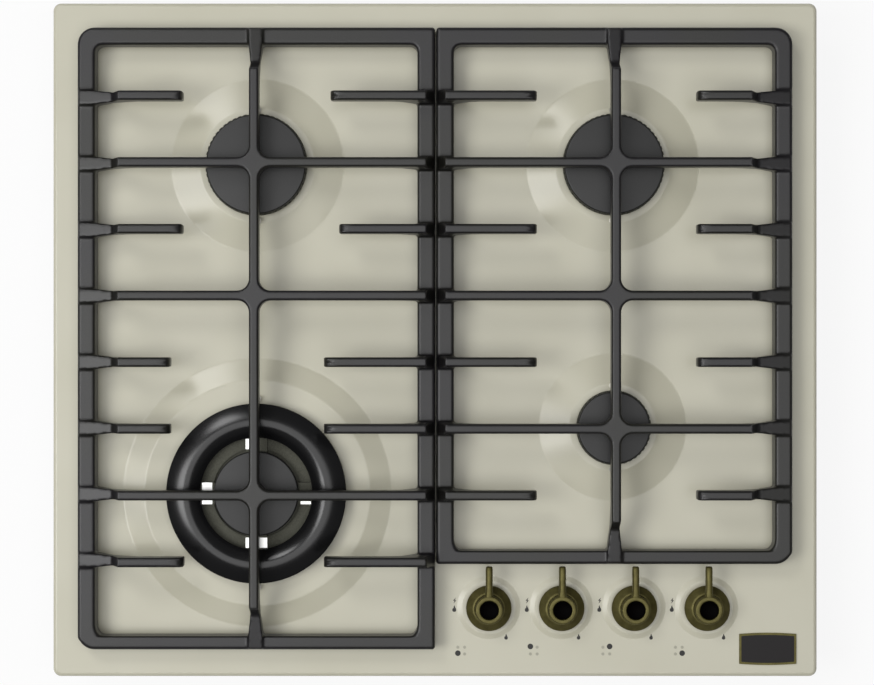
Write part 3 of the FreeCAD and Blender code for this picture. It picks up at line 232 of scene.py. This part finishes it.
# %% [markdown]
# ## Matt enamel on cast iron and on the burner caps
# Pan supports are sand-cast and then coated with a black enamel that is fired half matt. The coat itself
# is almost black. Its flat tops look dark grey since they spread the pale ceiling's light back, and its
# slopes and steps look black since they mirror the dark sides of the room. A grey coat couldn't do both.
# The sand's grain of about a millimetre shows through as a faint unevenness. A violet and a warm tint
# are painted reflections of the sky and the plate, laid in as random patches over a hand's width.
# The caps are pressed steel with the same kind of coat, but their metal below is smooth.


# %% Matt black enamels
def matt_enamel(name, dark, light, grain, depth, roughness, tints=("FFFFFF", "FFFFFF")):
    """A matt black coat. Grain is the size of its roughness and depth is how deep it goes, in mm.

    Its tone drifts at random over a hand's width between two tints, which are painted reflections.
    """
    made, tree, shader = finish(name, {"Roughness": roughness, "IOR": 1.5})
    speckle = noise(tree, grain, detail=3.0)
    drift = noise(tree, size=90, detail=1.0)
    tone = two_tones(tree, speckle, dark, light, 0.35, 0.65)
    # Painted reflections: the two tints stand in for the sky's and the plate's reflections.
    tint = two_tones(tree, drift, *tints, 0.42, 0.58)
    tinted = put(tree, "MixRGB", {"Fac": 1.0, "Color1": tone, "Color2": tint}, blend_type="MULTIPLY")
    tree.links.new(tinted.outputs["Color"], shader.inputs["Base Color"])
    relief(tree, shader, speckle, depth, strength=0.7)
    print(name, "grain in mm", grain)
    return made


# Gives the eye a slightly grainy black that turns grey on flat tops, with painted violet and warm
# reflection tints.
cast_iron = matt_enamel("matt_enamelled_cast_iron", "161616", "1C1C1C", 1.1, 0.05, 0.38,
                        tints=("F8EEFF", "FFFBE4"))
# Gives the eye a quiet, even dark grey disc.
cap_enamel = matt_enamel("matt_enamelled_steel_cap", "161616", "1B1B1B", 0.5, 0.01, 0.45)

# %% [markdown]
# ## Gloss enamel on the ring of the large burner
# The ring is pressed steel, and its coat is fired to a gloss. That shows in the photo as bright streaks on
# the slopes that lean towards a lamp. A low roughness gives such streaks, and a faint waviness of the
# flowed glass, about 6 mm long, softens their ends.

# %% Gloss black enamel
# Gives the eye a black ring with narrow light streaks along its crest.
gloss_enamel, tree, shader = finish("gloss_enamelled_steel_ring",
                                    {"Base Color": colour("121213"), "Roughness": 0.22, "IOR": 1.5})
relief(tree, shader, noise(tree, size=6, detail=1.0), depth=0.02, strength=0.5)
print("gloss enamel with a waviness of 6 mm")

# %% [markdown]
# ## Cast aluminium, zinc-coated sheet, brass and steel
# These are bare metals, so their shader is metallic and keeps its default IOR. A casting is grainy, and
# turned or plated metal is finer. A zinc coat freezes in crystals some millimetres across, called spangle,
# so its tone jumps from cell to cell instead of drifting.


# %% Bare metals
def bare_metal(name, dark, light, grain, depth, roughness, spangle=False):
    """A metal whose tone varies between two colours. Sizes are in mm."""
    made, tree, shader = finish(name, {"Metallic": 1.0, "Roughness": roughness})
    if spangle:
        place = put(tree, "TexCoord")
        cells = put(tree, "TexVoronoi", {"Vector": place.outputs["Object"], "Scale": 1 / (grain * mm)})
        pattern = put(tree, "SeparateColor", {"Color": cells.outputs["Color"]}).outputs["Red"]
    else:
        pattern = noise(tree, grain, detail=3.0)
    tone = two_tones(tree, pattern, dark, light, 0.3, 0.7)
    tree.links.new(tone, shader.inputs["Base Color"])
    relief(tree, shader, pattern, depth, strength=0.5)
    print(name, "grain in mm", grain)
    return made


# A pale, dull and grainy metal: burner cups, pipes and tap bodies.
cast_aluminium = bare_metal("cast_aluminium", "A9A9A6", "B9B9B6", 0.9, 0.04, 0.48)
# Flames leave oxide and soot on a spreader, and this dark olive brown is also painted shade below the caps
# and in the large burner's channel; it hardly shines.
heat_dulled_shaded_aluminium = bare_metal("heat_dulled_cast_aluminium", "45453E", "56564E", 0.9, 0.05, 0.6)
# Milled faces that mirror the ceiling: the four bright bridges of the large burner.
machined_aluminium = bare_metal("machined_aluminium", "F0F0EE", "F8F8F6", 0.6, 0.004, 0.3)
# A bluish grey patchwork of zinc crystals on the tray, the rail and the clamps.
zinc_sheet = bare_metal("zinc_coated_steel_sheet", "A8ABAD", "B4B7B8", 5.0, 0.005, 0.45, spangle=True)
# A clean pale shine on screws and spindles.
bright_zinc = bare_metal("bright_zinc_plated_steel", "B4B4B0", "C4C4C0", 0.8, 0.01, 0.3)
# Yellow metal of the injectors, tap plugs and gas inlet.
brass = bare_metal("turned_brass", "B89448", "C9A65A", 0.5, 0.01, 0.3)
# Grey and slightly warm: flame sensors, springs and spark pins.
stainless = bare_metal("stainless_steel", "A8A6A2", "B8B6B2", 0.6, 0.01, 0.32)

# %% [markdown]
# ## Antique bronze on the knobs and the badge
# The knobs are zinc die-castings with a dark bronze plating under a satin lacquer: brownish green in the
# shade and olive where the light falls. The patina drifts in patches of about 5 mm, over a fine grit of
# half a millimetre. A bright brass would look new, and a brown paint would show no metal at all.

# %% Antique bronze
# Gives the eye a brownish olive with broad, weak lights. The lacquer hides part of the metal, so the
# shader is only two thirds metallic.
bronze, tree, shader = finish("antique_bronze_plated_zinc", {"Metallic": 0.65, "Roughness": 0.48})
patina = noise(tree, size=5, detail=4.0)
grit = noise(tree, size=0.5, detail=2.0)
tone = two_tones(tree, patina, "544E28", "655F34", 0.3, 0.7)
tree.links.new(tone, shader.inputs["Base Color"])
relief(tree, shader, grit, depth=0.015, strength=0.4)
print("bronze patina in patches of 5 mm")

# %% [markdown]
# ## Plastics, rubber and ceramic
# None of these is bare metal, so metallic stays at 0. Moulded plastic has an IOR of about 1.46 to 1.5 and
# a fine spark-eroded grain, rubber is duller, and the electrodes' ceramic has a clear glaze. One function
# makes them all, since they differ only in colour, gloss and grain.


# %% Plain coats and mouldings
def moulding(name, tint, roughness, ior, grain, depth, specular=0.5):
    """A moulded or foamed surface of one colour with a fine grain. Sizes are in mm."""
    made, tree, shader = finish(name, {"Base Color": colour(tint), "Roughness": roughness, "IOR": ior,
                                       "Specular IOR Level": specular})
    relief(tree, shader, noise(tree, grain, detail=2.0), depth, strength=0.6)
    print(name, "grain in mm", grain)
    return made


# Housing of the spark generator: an even black with a fine grain.
black_plastic = moulding("black_moulded_abs", "1A1A1B", 0.4, 1.46, 0.4, 0.01)
# Sunk insert of a knob: it gives back almost no light, like a hole.
deep_black = moulding("deep_black_soft_lacquer", "020101", 0.6, 1.46, 0.5, 0.005, specular=0.03)
# Terminal box: dull mid grey.
grey_plastic = moulding("grey_moulded_polyamide", "5C5E60", 0.55, 1.5, 0.5, 0.02)
# Feet and seals: dull, without a clear light.
rubber = moulding("black_silicone_rubber", "1C1C1C", 0.7, 1.45, 0.6, 0.03)
# Seal below the rim: rough, with open pores.
foam = moulding("black_sealing_foam", "202020", 0.95, 1.45, 0.8, 0.25, specular=0.2)
# Electrode tubes: near white with a small clear light.
ceramic = moulding("glazed_ceramic", "EDEAE0", 0.18, 1.5, 1.0, 0.01)
# Sleeves of the ignition leads: brick red and soft.
red_silicone = moulding("red_silicone_sleeve", "7A2A22", 0.6, 1.45, 0.8, 0.02)
# Fired signs: thin, dull and dark, or hardly darker than the enamel for the empty burner places.
dark_print = moulding("fired_black_print", "1E1D1B", 0.5, 1.5, 0.3, 0.002)
faint_print = moulding("fired_pale_grey_print", "A9A796", 0.5, 1.5, 0.3, 0.002)
# Field of the badge: a smooth dark brown with a weak light.
badge_field = moulding("dark_brown_lacquer", "171314", 0.5, 1.5, 0.5, 0.005, specular=0.3)

# %% [markdown]
# ## Finishes on the measured solids
# Most of the solids already have the right shape, and only need their finish. Which one follows from what
# the real piece must bear: heat at the burners, gas in the pipes and taps, and hands at the knobs.

# %% Give the solids their finishes
burners = ("rear_left", "rear_right", "front_right", "front_left")
finishes = {
    "hob_plate": enamel, "burner_tray": zinc_sheet, "flange_seal": foam, "badge": bronze,
    "fixing_screws": bright_zinc, "left_pan_support": cast_iron, "right_pan_support": cast_iron,
    "left_support_feet": rubber, "right_support_feet": rubber, "front_left_outer_cap": gloss_enamel,
    "front_left_inner_cap": cap_enamel, "injectors": brass, "spark_electrodes": ceramic,
    "flame_sensors": stainless, "spindle_seals": rubber, "gas_rail": zinc_sheet,
    "burner_pipes": cast_aluminium, "gas_inlet": brass, "spark_generator": black_plastic,
    "terminal_box": grey_plastic, "ignition_leads": red_silicone}
for name in burners:
    finishes[name + "_burner_cup"] = cast_aluminium
    finishes[name + "_flame_spreader"] = heat_dulled_shaded_aluminium
# The dark finish paints shade on the spreaders below the caps, and in the large burner's cup and channel.
finishes["front_left_burner_cup"] = heat_dulled_shaded_aluminium
for name in burners[:3]:
    finishes[name + "_burner_cap"] = cap_enamel
for number in range(1, 5):
    finishes["hold_down_clamp_%d" % number] = zinc_sheet
    finishes["knob_%d" % number] = bronze
    finishes["knob_insert_%d" % number] = deep_black
    finishes["tap_spindle_%d" % number] = bright_zinc
    finishes["tap_plug_%d" % number] = brass
    finishes["tap_spring_%d" % number] = stainless
    finishes["tap_body_%d" % number] = cast_aluminium
for name, node in nodes.items():
    node.data.materials.clear()
    node.data.materials.append(finishes[name])
print("solids with a finish", len(nodes), "faces", sum(len(n.data.polygons) for n in nodes.values()))

# %% [markdown]
# ## Tools for shaping
# A turned piece is a profile spun about an upright axis, so one helper spins it and another rounds the
# profile's corners. A casting has no sharp edges: its solid is filled with small voxels, which are skinned
# and smoothed, so that every edge gets a soft radius and every inner corner a fillet. A print or a
# lacquered field is a thin sheet with straight edges, so it is an outline that grows by its thickness.

# %% Pieces and where they ride
weld_distance = 1e-6


def solid_form(name):
    """A measured solid's skin as a bmesh, with its faces joined at their corners."""
    form = bmesh.new()
    form.from_mesh(nodes[name].data)
    bmesh.ops.remove_doubles(form, verts=form.verts, dist=weld_distance)
    return form


def piece_from(name, form, *materials, smooth=True):
    """Makes an object from a bmesh. Turned and cast skins are shaded smooth, sheets are flat."""
    bmesh.ops.recalc_face_normals(form, faces=form.faces)
    mesh = bpy.data.meshes.new(name)
    form.to_mesh(mesh)
    form.free()
    mesh.polygons.foreach_set("use_smooth", [smooth] * len(mesh.polygons))
    piece = bpy.data.objects.new(name, mesh)
    bpy.context.scene.collection.objects.link(piece)
    for material in materials:
        mesh.materials.append(material)
    return piece


def settle(piece, body, slot, *replaced):
    """Says which body a piece rides on and the solids it stands for. Its slot is not used."""
    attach(piece, body)
    if replaced:
        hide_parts(*replaced)


# %% Turned pieces
def rounded_profile(corners, steps=5):
    """Corners are (radius, height, rounding) in mm. Gives the points of the profile with its arcs."""
    points = []
    count = len(corners)
    for k, (r, z, rounding) in enumerate(corners):
        here = Vector((r, z))
        if rounding == 0:
            points.append(here)
            continue
        back = (Vector(corners[k - 1][:2]) - here).normalized()
        ahead = (Vector(corners[(k + 1) % count][:2]) - here).normalized()
        half = back.angle(ahead) / 2
        reach = rounding / math.tan(half)
        centre = here + (back + ahead).normalized() * rounding / math.sin(half)
        start, end = here + back * reach - centre, here + ahead * reach - centre
        for step in range(steps + 1):
            share = step / steps
            points.append(centre + (start * (1 - share) + end * share).normalized() * rounding)
    return points


def lathe(name, corners, place, material, segments=144, closed=False):
    """A new turned piece. Corners run from the axis outwards and round, or once round if closed."""
    points = rounded_profile(corners)
    form = bmesh.new()
    rings = []
    for r, z in points:
        turns = segments if r > 1e-6 else 1
        rings.append([form.verts.new((place[0] * mm + r * mm * math.cos(2 * math.pi * k / turns),
                                      place[1] * mm + r * mm * math.sin(2 * math.pi * k / turns), z * mm))
                      for k in range(turns)])
    pairs = list(zip(rings, rings[1:])) + ([(rings[-1], rings[0])] if closed else [])
    for one, two in pairs:
        for k in range(segments):
            corner = [one[k % len(one)], one[(k + 1) % len(one)], two[(k + 1) % len(two)],
                      two[k % len(two)]]
            kept = [v for n, v in enumerate(corner) if v not in corner[:n]]
            if len(kept) > 2:
                form.faces.new(kept)
    return piece_from(name, form, material)


# %% Castings and sheets
def evaluated(piece):
    """Replaces a piece's mesh by what its modifiers make of it."""
    bpy.context.view_layer.update()
    seen = piece.evaluated_get(bpy.context.evaluated_depsgraph_get())
    mesh = bpy.data.meshes.new_from_object(seen)
    piece.modifiers.clear()
    piece.data = mesh
    return mesh


def soften(piece, voxel, rounds, keep):
    """Skins a solid with voxels (mm), smooths it and keeps a share of its faces."""
    material = piece.data.materials[0]
    remesh = piece.modifiers.new("voxels", "REMESH")
    remesh.mode = "VOXEL"
    remesh.voxel_size = voxel * mm
    relax = piece.modifiers.new("relax", "SMOOTH")
    relax.factor = 0.5
    relax.iterations = rounds
    thin = piece.modifiers.new("thin", "DECIMATE")
    thin.ratio = keep
    mesh = evaluated(piece)
    mesh.materials.clear()
    mesh.materials.append(material)
    mesh.polygons.foreach_set("use_smooth", [True] * len(mesh.polygons))
    return mesh


def add_sheet(form, outline, level, rise):
    """Adds a thin sheet with that outline to a bmesh. It grows from its level by the rise, in mm.

    Its faces are made one by one, because an extrusion lists them in another order in every run.
    """
    start = [form.verts.new(Vector((x, y, level)) * mm) for x, y in outline]
    grown = [form.verts.new(vertex.co + Vector((0, 0, rise * mm))) for vertex in start]
    form.faces.new(start)
    form.faces.new(grown)
    for k in range(len(outline)):
        after = (k + 1) % len(outline)
        form.faces.new((start[k], start[after], grown[after], grown[k]))


# %% [markdown]
# ## Pan supports
# Each support is one iron casting: a frame, full bars, a middle bar and short fingers with a step at every
# root. Boxes with bevels would leave sharp meeting lines where bars join the frame, so the measured solid
# is softened as a whole. The tips of the fingers slope down, which is why they look black from above.
# The front rail is the narrowest of the four, so its inner face is drawn 3 mm outwards below the bars.

# %% Softened castings
bar_top = 97.0
bar_half_width = 3.7
middle_x = 137.2
first_row = 134.5
row_pitch = 50.5
tip_run, tip_fall, tip_curve, tip_depth = 3.0, 4.5, 1.5, 9.0
slack = 1.0
rail_top, rail_hold, rail_inner, rail_free = 76.6, 6.0, 13.5, 19.0
rail_trim = 3.0
front_edges = {"left_pan_support": -237.0, "right_pan_support": -171.7}
# For each support: its middle, and for each row of fingers the half gaps left and right of the middle.
finger_gaps = {
    "left_pan_support": (-middle_x, {1: (54.0, 58.0), -1: (54.0, 64.5), -3: (63.5, 53.0),
                                     -4: (63.5, 53.0), -6: (53.5, 53.0)}),
    "right_pan_support": (middle_x, {row: (60.0, 61.5) for row in (1, -1, -3, -5)})}


def slope_tips(mesh, middle, gaps):
    """Bends the last millimetres of each finger down from its top."""
    for vertex in mesh.vertices:
        x, y, z = vertex.co / mm
        row = round((y - first_row) / row_pitch)
        off_row = abs(y - first_row - row * row_pitch)
        if row not in gaps or off_row > bar_half_width + slack or z < bar_top - tip_depth:
            continue
        gap = gaps[row][0] if x < middle else gaps[row][1]
        inwards = tip_run - (abs(x - middle) - gap)
        if 0 < inwards < tip_run + slack:
            fall = tip_fall * (inwards / tip_run) ** tip_curve
            vertex.co.z -= fall * mm * min(1, (z - bar_top + tip_depth) / tip_depth)


def thin_front_rail(mesh, outer):
    """Draws the inner face of the front rail outwards, as this rail is the narrowest of the four."""
    for vertex in mesh.vertices:
        depth = vertex.co.y / mm - outer
        if vertex.co.z / mm < rail_top and rail_hold < depth < rail_free:
            share = min((depth - rail_hold) / (rail_inner - rail_hold),
                        (rail_free - depth) / (rail_free - rail_inner))
            vertex.co.y -= rail_trim * share * mm


for name, (middle, gaps) in finger_gaps.items():
    casting = piece_from(name.replace("pan_support", "casting"), solid_form(name), cast_iron)
    mesh = soften(casting, voxel=1.0, rounds=3, keep=0.3)
    slope_tips(mesh, middle, gaps)
    thin_front_rail(mesh, front_edges[name])
    settle(casting, name.replace("_pan", ""), "cast_iron", name)
    print(casting.name, "faces", len(mesh.polygons))

# %% [markdown]
# ## Burner caps
# The lids are pressed steel discs with a rolled edge, and the large burner has a ring with a round crest
# and a lid in its middle. All are turned forms, so a spun profile gives their smooth edges. Softening their
# solids with voxels would leave the thin rims uneven.

# %% Lids
burner_places = {"rear_left": (-137.2, 134.5), "rear_right": (137.2, 134.5),
                 "front_right": (137.2, -67.5), "front_left": (-137.2, -118.0)}
cap_radii = {"rear_left": 38.2, "rear_right": 38.2, "front_right": 27.8}
lid_foot, lid_top, lid_lip = 69.4, 73.2, 6.0
core_radius, core_foot, core_top, core_lip = 32.5, 67.5, 71.0, 6.5
lid_crown, lid_edge_round, lid_foot_round = 0.15, 1.3, 0.4


def lid(name, radius, foot, top, lip, place):
    """A pressed disc: a top with a slight crown, a rolled edge and an upright rim."""
    return lathe(name, [(0, top, 0), (radius, top - lid_crown, lid_edge_round),
                        (radius, foot, lid_foot_round), (radius - lip, foot, 0), (0, foot, 0)],
                 place, cap_enamel)


for name, radius in cap_radii.items():
    settle(lid(name + "_lid", radius, lid_foot, lid_top, lid_lip, burner_places[name]),
           name + "_cap", "black_enamel", name + "_burner_cap")
settle(lid("front_left_lid", core_radius, core_foot, core_top, core_lip, burner_places["front_left"]),
       "front_left_core_cap", "black_enamel", "front_left_inner_cap")
print("lids", len(cap_radii) + 1)

# %% Ring
ring_foot, ring_edge, ring_crest = 67.5, 69.7, 75.0
ring_outer, ring_inner, crest_radius = 69.0, 43.0, 54.0
ring_bulge = 1.5


def ring_profile(steps=14):
    """The ring's section: upright edges, a bulging outer slope and a fuller inner one."""
    points = [(ring_inner, ring_foot, 0), (ring_inner, ring_edge, 0)]
    for k in range(1, steps):
        turn = math.pi * k / steps
        across = -math.cos(turn)
        width = (ring_outer - crest_radius) if across > 0 else (crest_radius - ring_inner)
        points.append((crest_radius + across * width,
                       ring_edge + (ring_crest - ring_edge) * (1 - abs(across) ** ring_bulge), 0))
    return points + [(ring_outer, ring_edge, 0), (ring_outer, ring_foot, 0)]


flame_ring = lathe("front_left_ring", ring_profile(), burner_places["front_left"], gloss_enamel,
                   segments=180, closed=True)
settle(flame_ring, "front_left_ring_cap", "black_enamel", "front_left_outer_cap")
print("ring faces", len(flame_ring.data.polygons))

# %% [markdown]
# ## The large burner's spreader
# One aluminium casting carries the flame ports and four bridges to its core. Only the bridges' top faces
# are machined bright. The rest keeps its dull cast skin, darkened by heat and by painted shade. So the
# casting's skin is copied, cut where the bright part of a bridge begins and ends, and each face gets one
# of two finishes by its height and place. The bar's shadow on the right and rear bridges is painted in
# with the dull finish, so only a part of each stays bright.

# %% Spreader with bright bridges
bridge_top = 66.5
bright_from, bright_to = 34.0, 41.8
# The right bridge stays bright only this far in front of the middle; behind that line the bar's shadow is
# painted in dull.
painted_shadow_line, core_side = 6.2, 10.0
level_slack, facing_up = 0.1, 0.9
burner_x, burner_y = burner_places["front_left"]
right, left, rear, front = (1, 0, 0), (-1, 0, 0), (0, 1, 0), (0, -1, 0)

form = solid_form("front_left_flame_spreader")
cuts = [(way, reach) for way in (right, left, rear, front) for reach in (bright_from, bright_to)]
for way, reach in cuts + [(right, 0.0), (front, painted_shadow_line)]:
    on_plane = (Vector((burner_x, burner_y, 0)) + Vector(way) * reach) * mm
    bmesh.ops.bisect_plane(form, geom=form.verts[:] + form.edges[:] + form.faces[:], plane_co=on_plane,
                           plane_no=way, dist=1e-7)
for face in form.faces:
    at = face.calc_center_median() / mm
    on_top = abs(at.z - bridge_top) < level_slack and face.normal.z > facing_up
    reach = max(abs(at.x - burner_x), abs(at.y - burner_y))
    # Painted shadow: where the bars shade the right and rear bridges, their top faces keep the dull finish.
    painted_shadow_right = at.x > burner_x + core_side and at.y > burner_y - painted_shadow_line
    painted_shadow_rear = at.y > burner_y + core_side and at.x > burner_x
    is_bright = on_top and bright_from < reach < bright_to and not (painted_shadow_right or painted_shadow_rear)
    face.material_index = 1 if is_bright else 0
bright = sum(face.material_index for face in form.faces)
spreader = piece_from("front_left_spreader_casting", form, heat_dulled_shaded_aluminium, machined_aluminium,
                      smooth=False)
settle(spreader, "front_left_spreader", "cast_aluminium", "front_left_flame_spreader")
print("bright faces", bright)

# %% [markdown]
# ## Spark electrodes
# Each electrode is a glazed ceramic tube with a steel pin at its top. The measured solids hold both, so
# their skins are parted: a loose part that is thinner than 2 mm is a pin.

# %% Electrodes in ceramic and steel
pin_width = 2.0

form = solid_form("spark_electrodes")
waiting = set(form.faces)
pins = 0
while waiting:
    part, edge_faces = [], [waiting.pop()]
    while edge_faces:
        face = edge_faces.pop()
        part.append(face)
        near = {other for edge in face.edges for other in edge.link_faces} & waiting
        waiting -= near
        edge_faces.extend(near)
    across = [vertex.co.x for face in part for vertex in face.verts]
    if max(across) - min(across) < pin_width * mm:
        pins += 1
        for face in part:
            face.material_index = 1
electrodes = piece_from("ceramic_electrodes", form, ceramic, stainless, smooth=False)
settle(electrodes, "base", "white_ceramic", "spark_electrodes")
print("steel pins", pins)

# %% [markdown]
# ## Knobs
# Each knob is one zinc casting: a round skirt, a hub with a sunk black insert and a lever that points to
# the rear when the tap is shut. It is built from a spun body and a lofted lever, and both are softened
# together, so the lever grows out of the hub with a fillet as in the mould. One function makes all four.

# %% One knob for four places
knob_places = [41.4, 97.4, 153.4, 209.4]
knob_y = -206.6
knob_foot, knob_edge, knob_shoulder, knob_top = 62.0, 65.0, 69.0, 80.0
knob_hollow = 63.8  # the foot is hollow, so the pushed knob clears its seal
knob_radius, cavity_radius, hub_root_radius, hub_radius = 17.5, 15.4, 12.3, 10.9
insert_radius, insert_depth = 7.2, 3.0
lever_points, lever_power = 20, 0.7
# Cross-sections of the lever from the hub to its tip: (distance, half width, lowest, highest).
lever_sections = [(8.9, 3.6, 71.0, 79.6), (12.0, 3.1, 71.1, 79.8), (17.0, 2.75, 71.2, 79.9),
                  (24.0, 2.7, 71.3, 79.8), (30.0, 2.75, 71.5, 79.5), (32.4, 2.6, 71.9, 78.9),
                  (33.2, 2.1, 72.8, 78.0)]


def lever_form(form, x, y):
    """Lofts the lever's sections, each a rounded oblong with a crowned top."""
    rows = []
    for along, half, low, high in lever_sections:
        outline = []
        for k in range(lever_points):
            turn = 2 * math.pi * k / lever_points
            across, up = math.cos(turn), math.sin(turn)
            outline.append(form.verts.new(Vector((
                x + half * math.copysign(abs(across) ** lever_power, across), y + along,
                (low + high) / 2 + (high - low) / 2 * math.copysign(abs(up) ** lever_power, up))) * mm))
        rows.append(outline)
    for one, two in zip(rows, rows[1:]):
        for k in range(lever_points):
            after = (k + 1) % lever_points
            form.faces.new((one[k], one[after], two[after], two[k]))
    form.faces.new(rows[0])
    form.faces.new(rows[-1])


def knob_piece(number, x):
    """The casting of one knob: a spun body and a lofted lever, softened into one skin."""
    insert_floor = knob_top - insert_depth
    profile = [(0, knob_hollow, 0), (cavity_radius, knob_hollow, 0.3), (cavity_radius, knob_foot, 0.3),
               (knob_radius, knob_foot, 0.5), (knob_radius, knob_edge, 1.2),
               (hub_root_radius, knob_shoulder, 0.5), (hub_radius, knob_shoulder, 0.3),
               (hub_radius, knob_top, 1.4), (insert_radius, knob_top, 0.5),
               (insert_radius, insert_floor, 0.2), (0, insert_floor, 0)]
    body = lathe("knob_%d_casting" % number, profile, (x, knob_y), bronze, segments=96)
    form = bmesh.new()
    form.from_mesh(body.data)
    lever_form(form, x, knob_y)
    bmesh.ops.recalc_face_normals(form, faces=form.faces)
    form.to_mesh(body.data)
    form.free()
    soften(body, voxel=0.42, rounds=4, keep=0.3)
    return body


# The insert is a dished disc, a hair narrower than its hollow. Its corners run from the middle of its top
# out to the rim and back below.
inlay_radius = insert_radius - 0.15
inlay_profile = [(0, knob_top - 2.7, 0), (insert_radius - 2.4, knob_top - 2.4, 0),
                 (inlay_radius, knob_top - 0.9, 0.3), (inlay_radius, knob_top - 3.1, 0),
                 (0, knob_top - 3.1, 0)]
for number, x in enumerate(knob_places, 1):
    knob = knob_piece(number, x)
    settle(knob, "knob_%d" % number, "bronze", "knob_%d" % number)
    insert = lathe("knob_%d_inlay" % number, inlay_profile, (x, knob_y), deep_black, segments=64)
    settle(insert, "knob_%d" % number, "black_plastic", "knob_insert_%d" % number)
print("knob faces", len(knob.data.polygons))

# %% [markdown]
# ## Return springs
# Below each knob a coil spring lifts the spindle again. When the knob is pushed in, the coils close up,
# which a rigid solid can't show. The spring is made a piece of its own, with a mesh of its own; nothing
# here shortens it.

# %% Springs as pieces of their own
for number, x in enumerate(knob_places, 1):
    form = solid_form("tap_spring_%d" % number)
    spring = piece_from("tap_%d_return_spring" % number, form, stainless)
    settle(spring, "base", "steel", "tap_spring_%d" % number)
    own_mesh(spring)

# %% [markdown]
# ## Badge
# A bronze border holds a dark lacquered field. Nothing is written on it. The field is its own thin sheet
# with front and rear edges that bow outwards, because the border's solid has one finish only.

# %% Lacquered field of the badge
badge_centre = (256.8, -238.6)
field_half = (21.0, 10.55)
field_bow = 0.85
field_level, field_thickness = 57.34, 0.1
field_steps = 24

edge = [-field_half[0] + 2 * field_half[0] * k / field_steps for k in range(field_steps + 1)]
front_edge = [(x, -field_half[1] - field_bow * (1 - (x / field_half[0]) ** 2)) for x in edge]
outline = [(badge_centre[0] + x, badge_centre[1] + y)
           for x, y in front_edge + [(x, -y) for x, y in reversed(front_edge)]]
form = bmesh.new()
add_sheet(form, outline, field_level, -field_thickness)
field = piece_from("badge_lacquered_field", form, badge_field, smooth=False)
settle(field, "base", "black_enamel")
print("badge field in mm", [2 * half for half in field_half])

# %% [markdown]
# ## Printed symbols
# Beside each knob the enamel carries small fired prints: a spark and a large flame on the left, a small
# flame below on the right, and a square of four dots with the knob's own burner filled. They are all plain
# signs. A fired print stands a few hundredths of a millimetre proud, so each is a very thin sheet.

# %% Signs beside the knobs
plate_level = 56.52
print_thickness = 0.06
spark_place, spark_height = (-26.3, 5.2), 4.6
large_flame_place, large_flame_height = (-26.6, -0.9), 5.2
small_flame_place, small_flame_height = (13.4, -22.6), 4.6
plan_place, plan_half = (-21.2, -33.4), 2.6
own_dot, own_dot_rise, other_dot = 2.2, 0.6, 1.2
# For each knob, the side (right 1, left -1; rear 1, front -1) on which its burner lies.
own_burner = {1: (-1, -1), 2: (-1, 1), 3: (1, 1), 4: (1, -1)}


def sign(name, outlines, material):
    """Thin sheets with those outlines (mm), in one piece."""
    form = bmesh.new()
    for outline in outlines:
        add_sheet(form, outline, plate_level, print_thickness)
    settle(piece_from(name, form, material, smooth=False), "base", "black_enamel")


def flame(x, y, height):
    """A drop with its tip leaning to one side, as shares of its half width and its height."""
    half = height * 0.32
    shape = [(0.10, 0.5), (0.30, 0.22), (0.62, 0.02), (0.80, -0.22), (0.62, -0.42), (0.22, -0.5),
             (-0.22, -0.5), (-0.62, -0.42), (-0.80, -0.2), (-0.55, 0.04), (-0.28, 0.06), (-0.22, 0.28)]
    return [(x + u * half * 1.2, y + v * height) for u, v in shape]


def spark(x, y, height):
    """A short zigzag bolt, as shares of its width and its height."""
    shape = [(0.25, 0.5), (-0.35, -0.02), (-0.02, 0.0), (-0.22, -0.5), (0.38, 0.06), (0.05, 0.04)]
    return [(x + u * height * 0.8, y + v * height) for u, v in shape]


def dot(x, y, radius, count=14):
    """A round spot, as the outline of a polygon."""
    return [(x + radius * math.cos(2 * math.pi * k / count), y + radius * math.sin(2 * math.pi * k / count))
            for k in range(count)]


for number, x in enumerate(knob_places, 1):
    dark = [spark(x + spark_place[0], knob_y + spark_place[1], spark_height),
            flame(x + large_flame_place[0], knob_y + large_flame_place[1], large_flame_height),
            flame(x + small_flame_place[0], knob_y + small_flame_place[1], small_flame_height)]
    centre = (x + plan_place[0], knob_y + plan_place[1])
    own = own_burner[number]
    dark.append(dot(centre[0] + own[0] * plan_half, centre[1] + own[1] * plan_half + own_dot_rise, own_dot))
    faint = [dot(centre[0] + a * plan_half, centre[1] + b * plan_half, other_dot)
             for a in (-1, 1) for b in (-1, 1) if (a, b) != own]
    sign("knob_%d_signs" % number, dark, dark_print)
    sign("knob_%d_burner_plan" % number, faint, faint_print)
print("signs", 2 * len(knob_places))
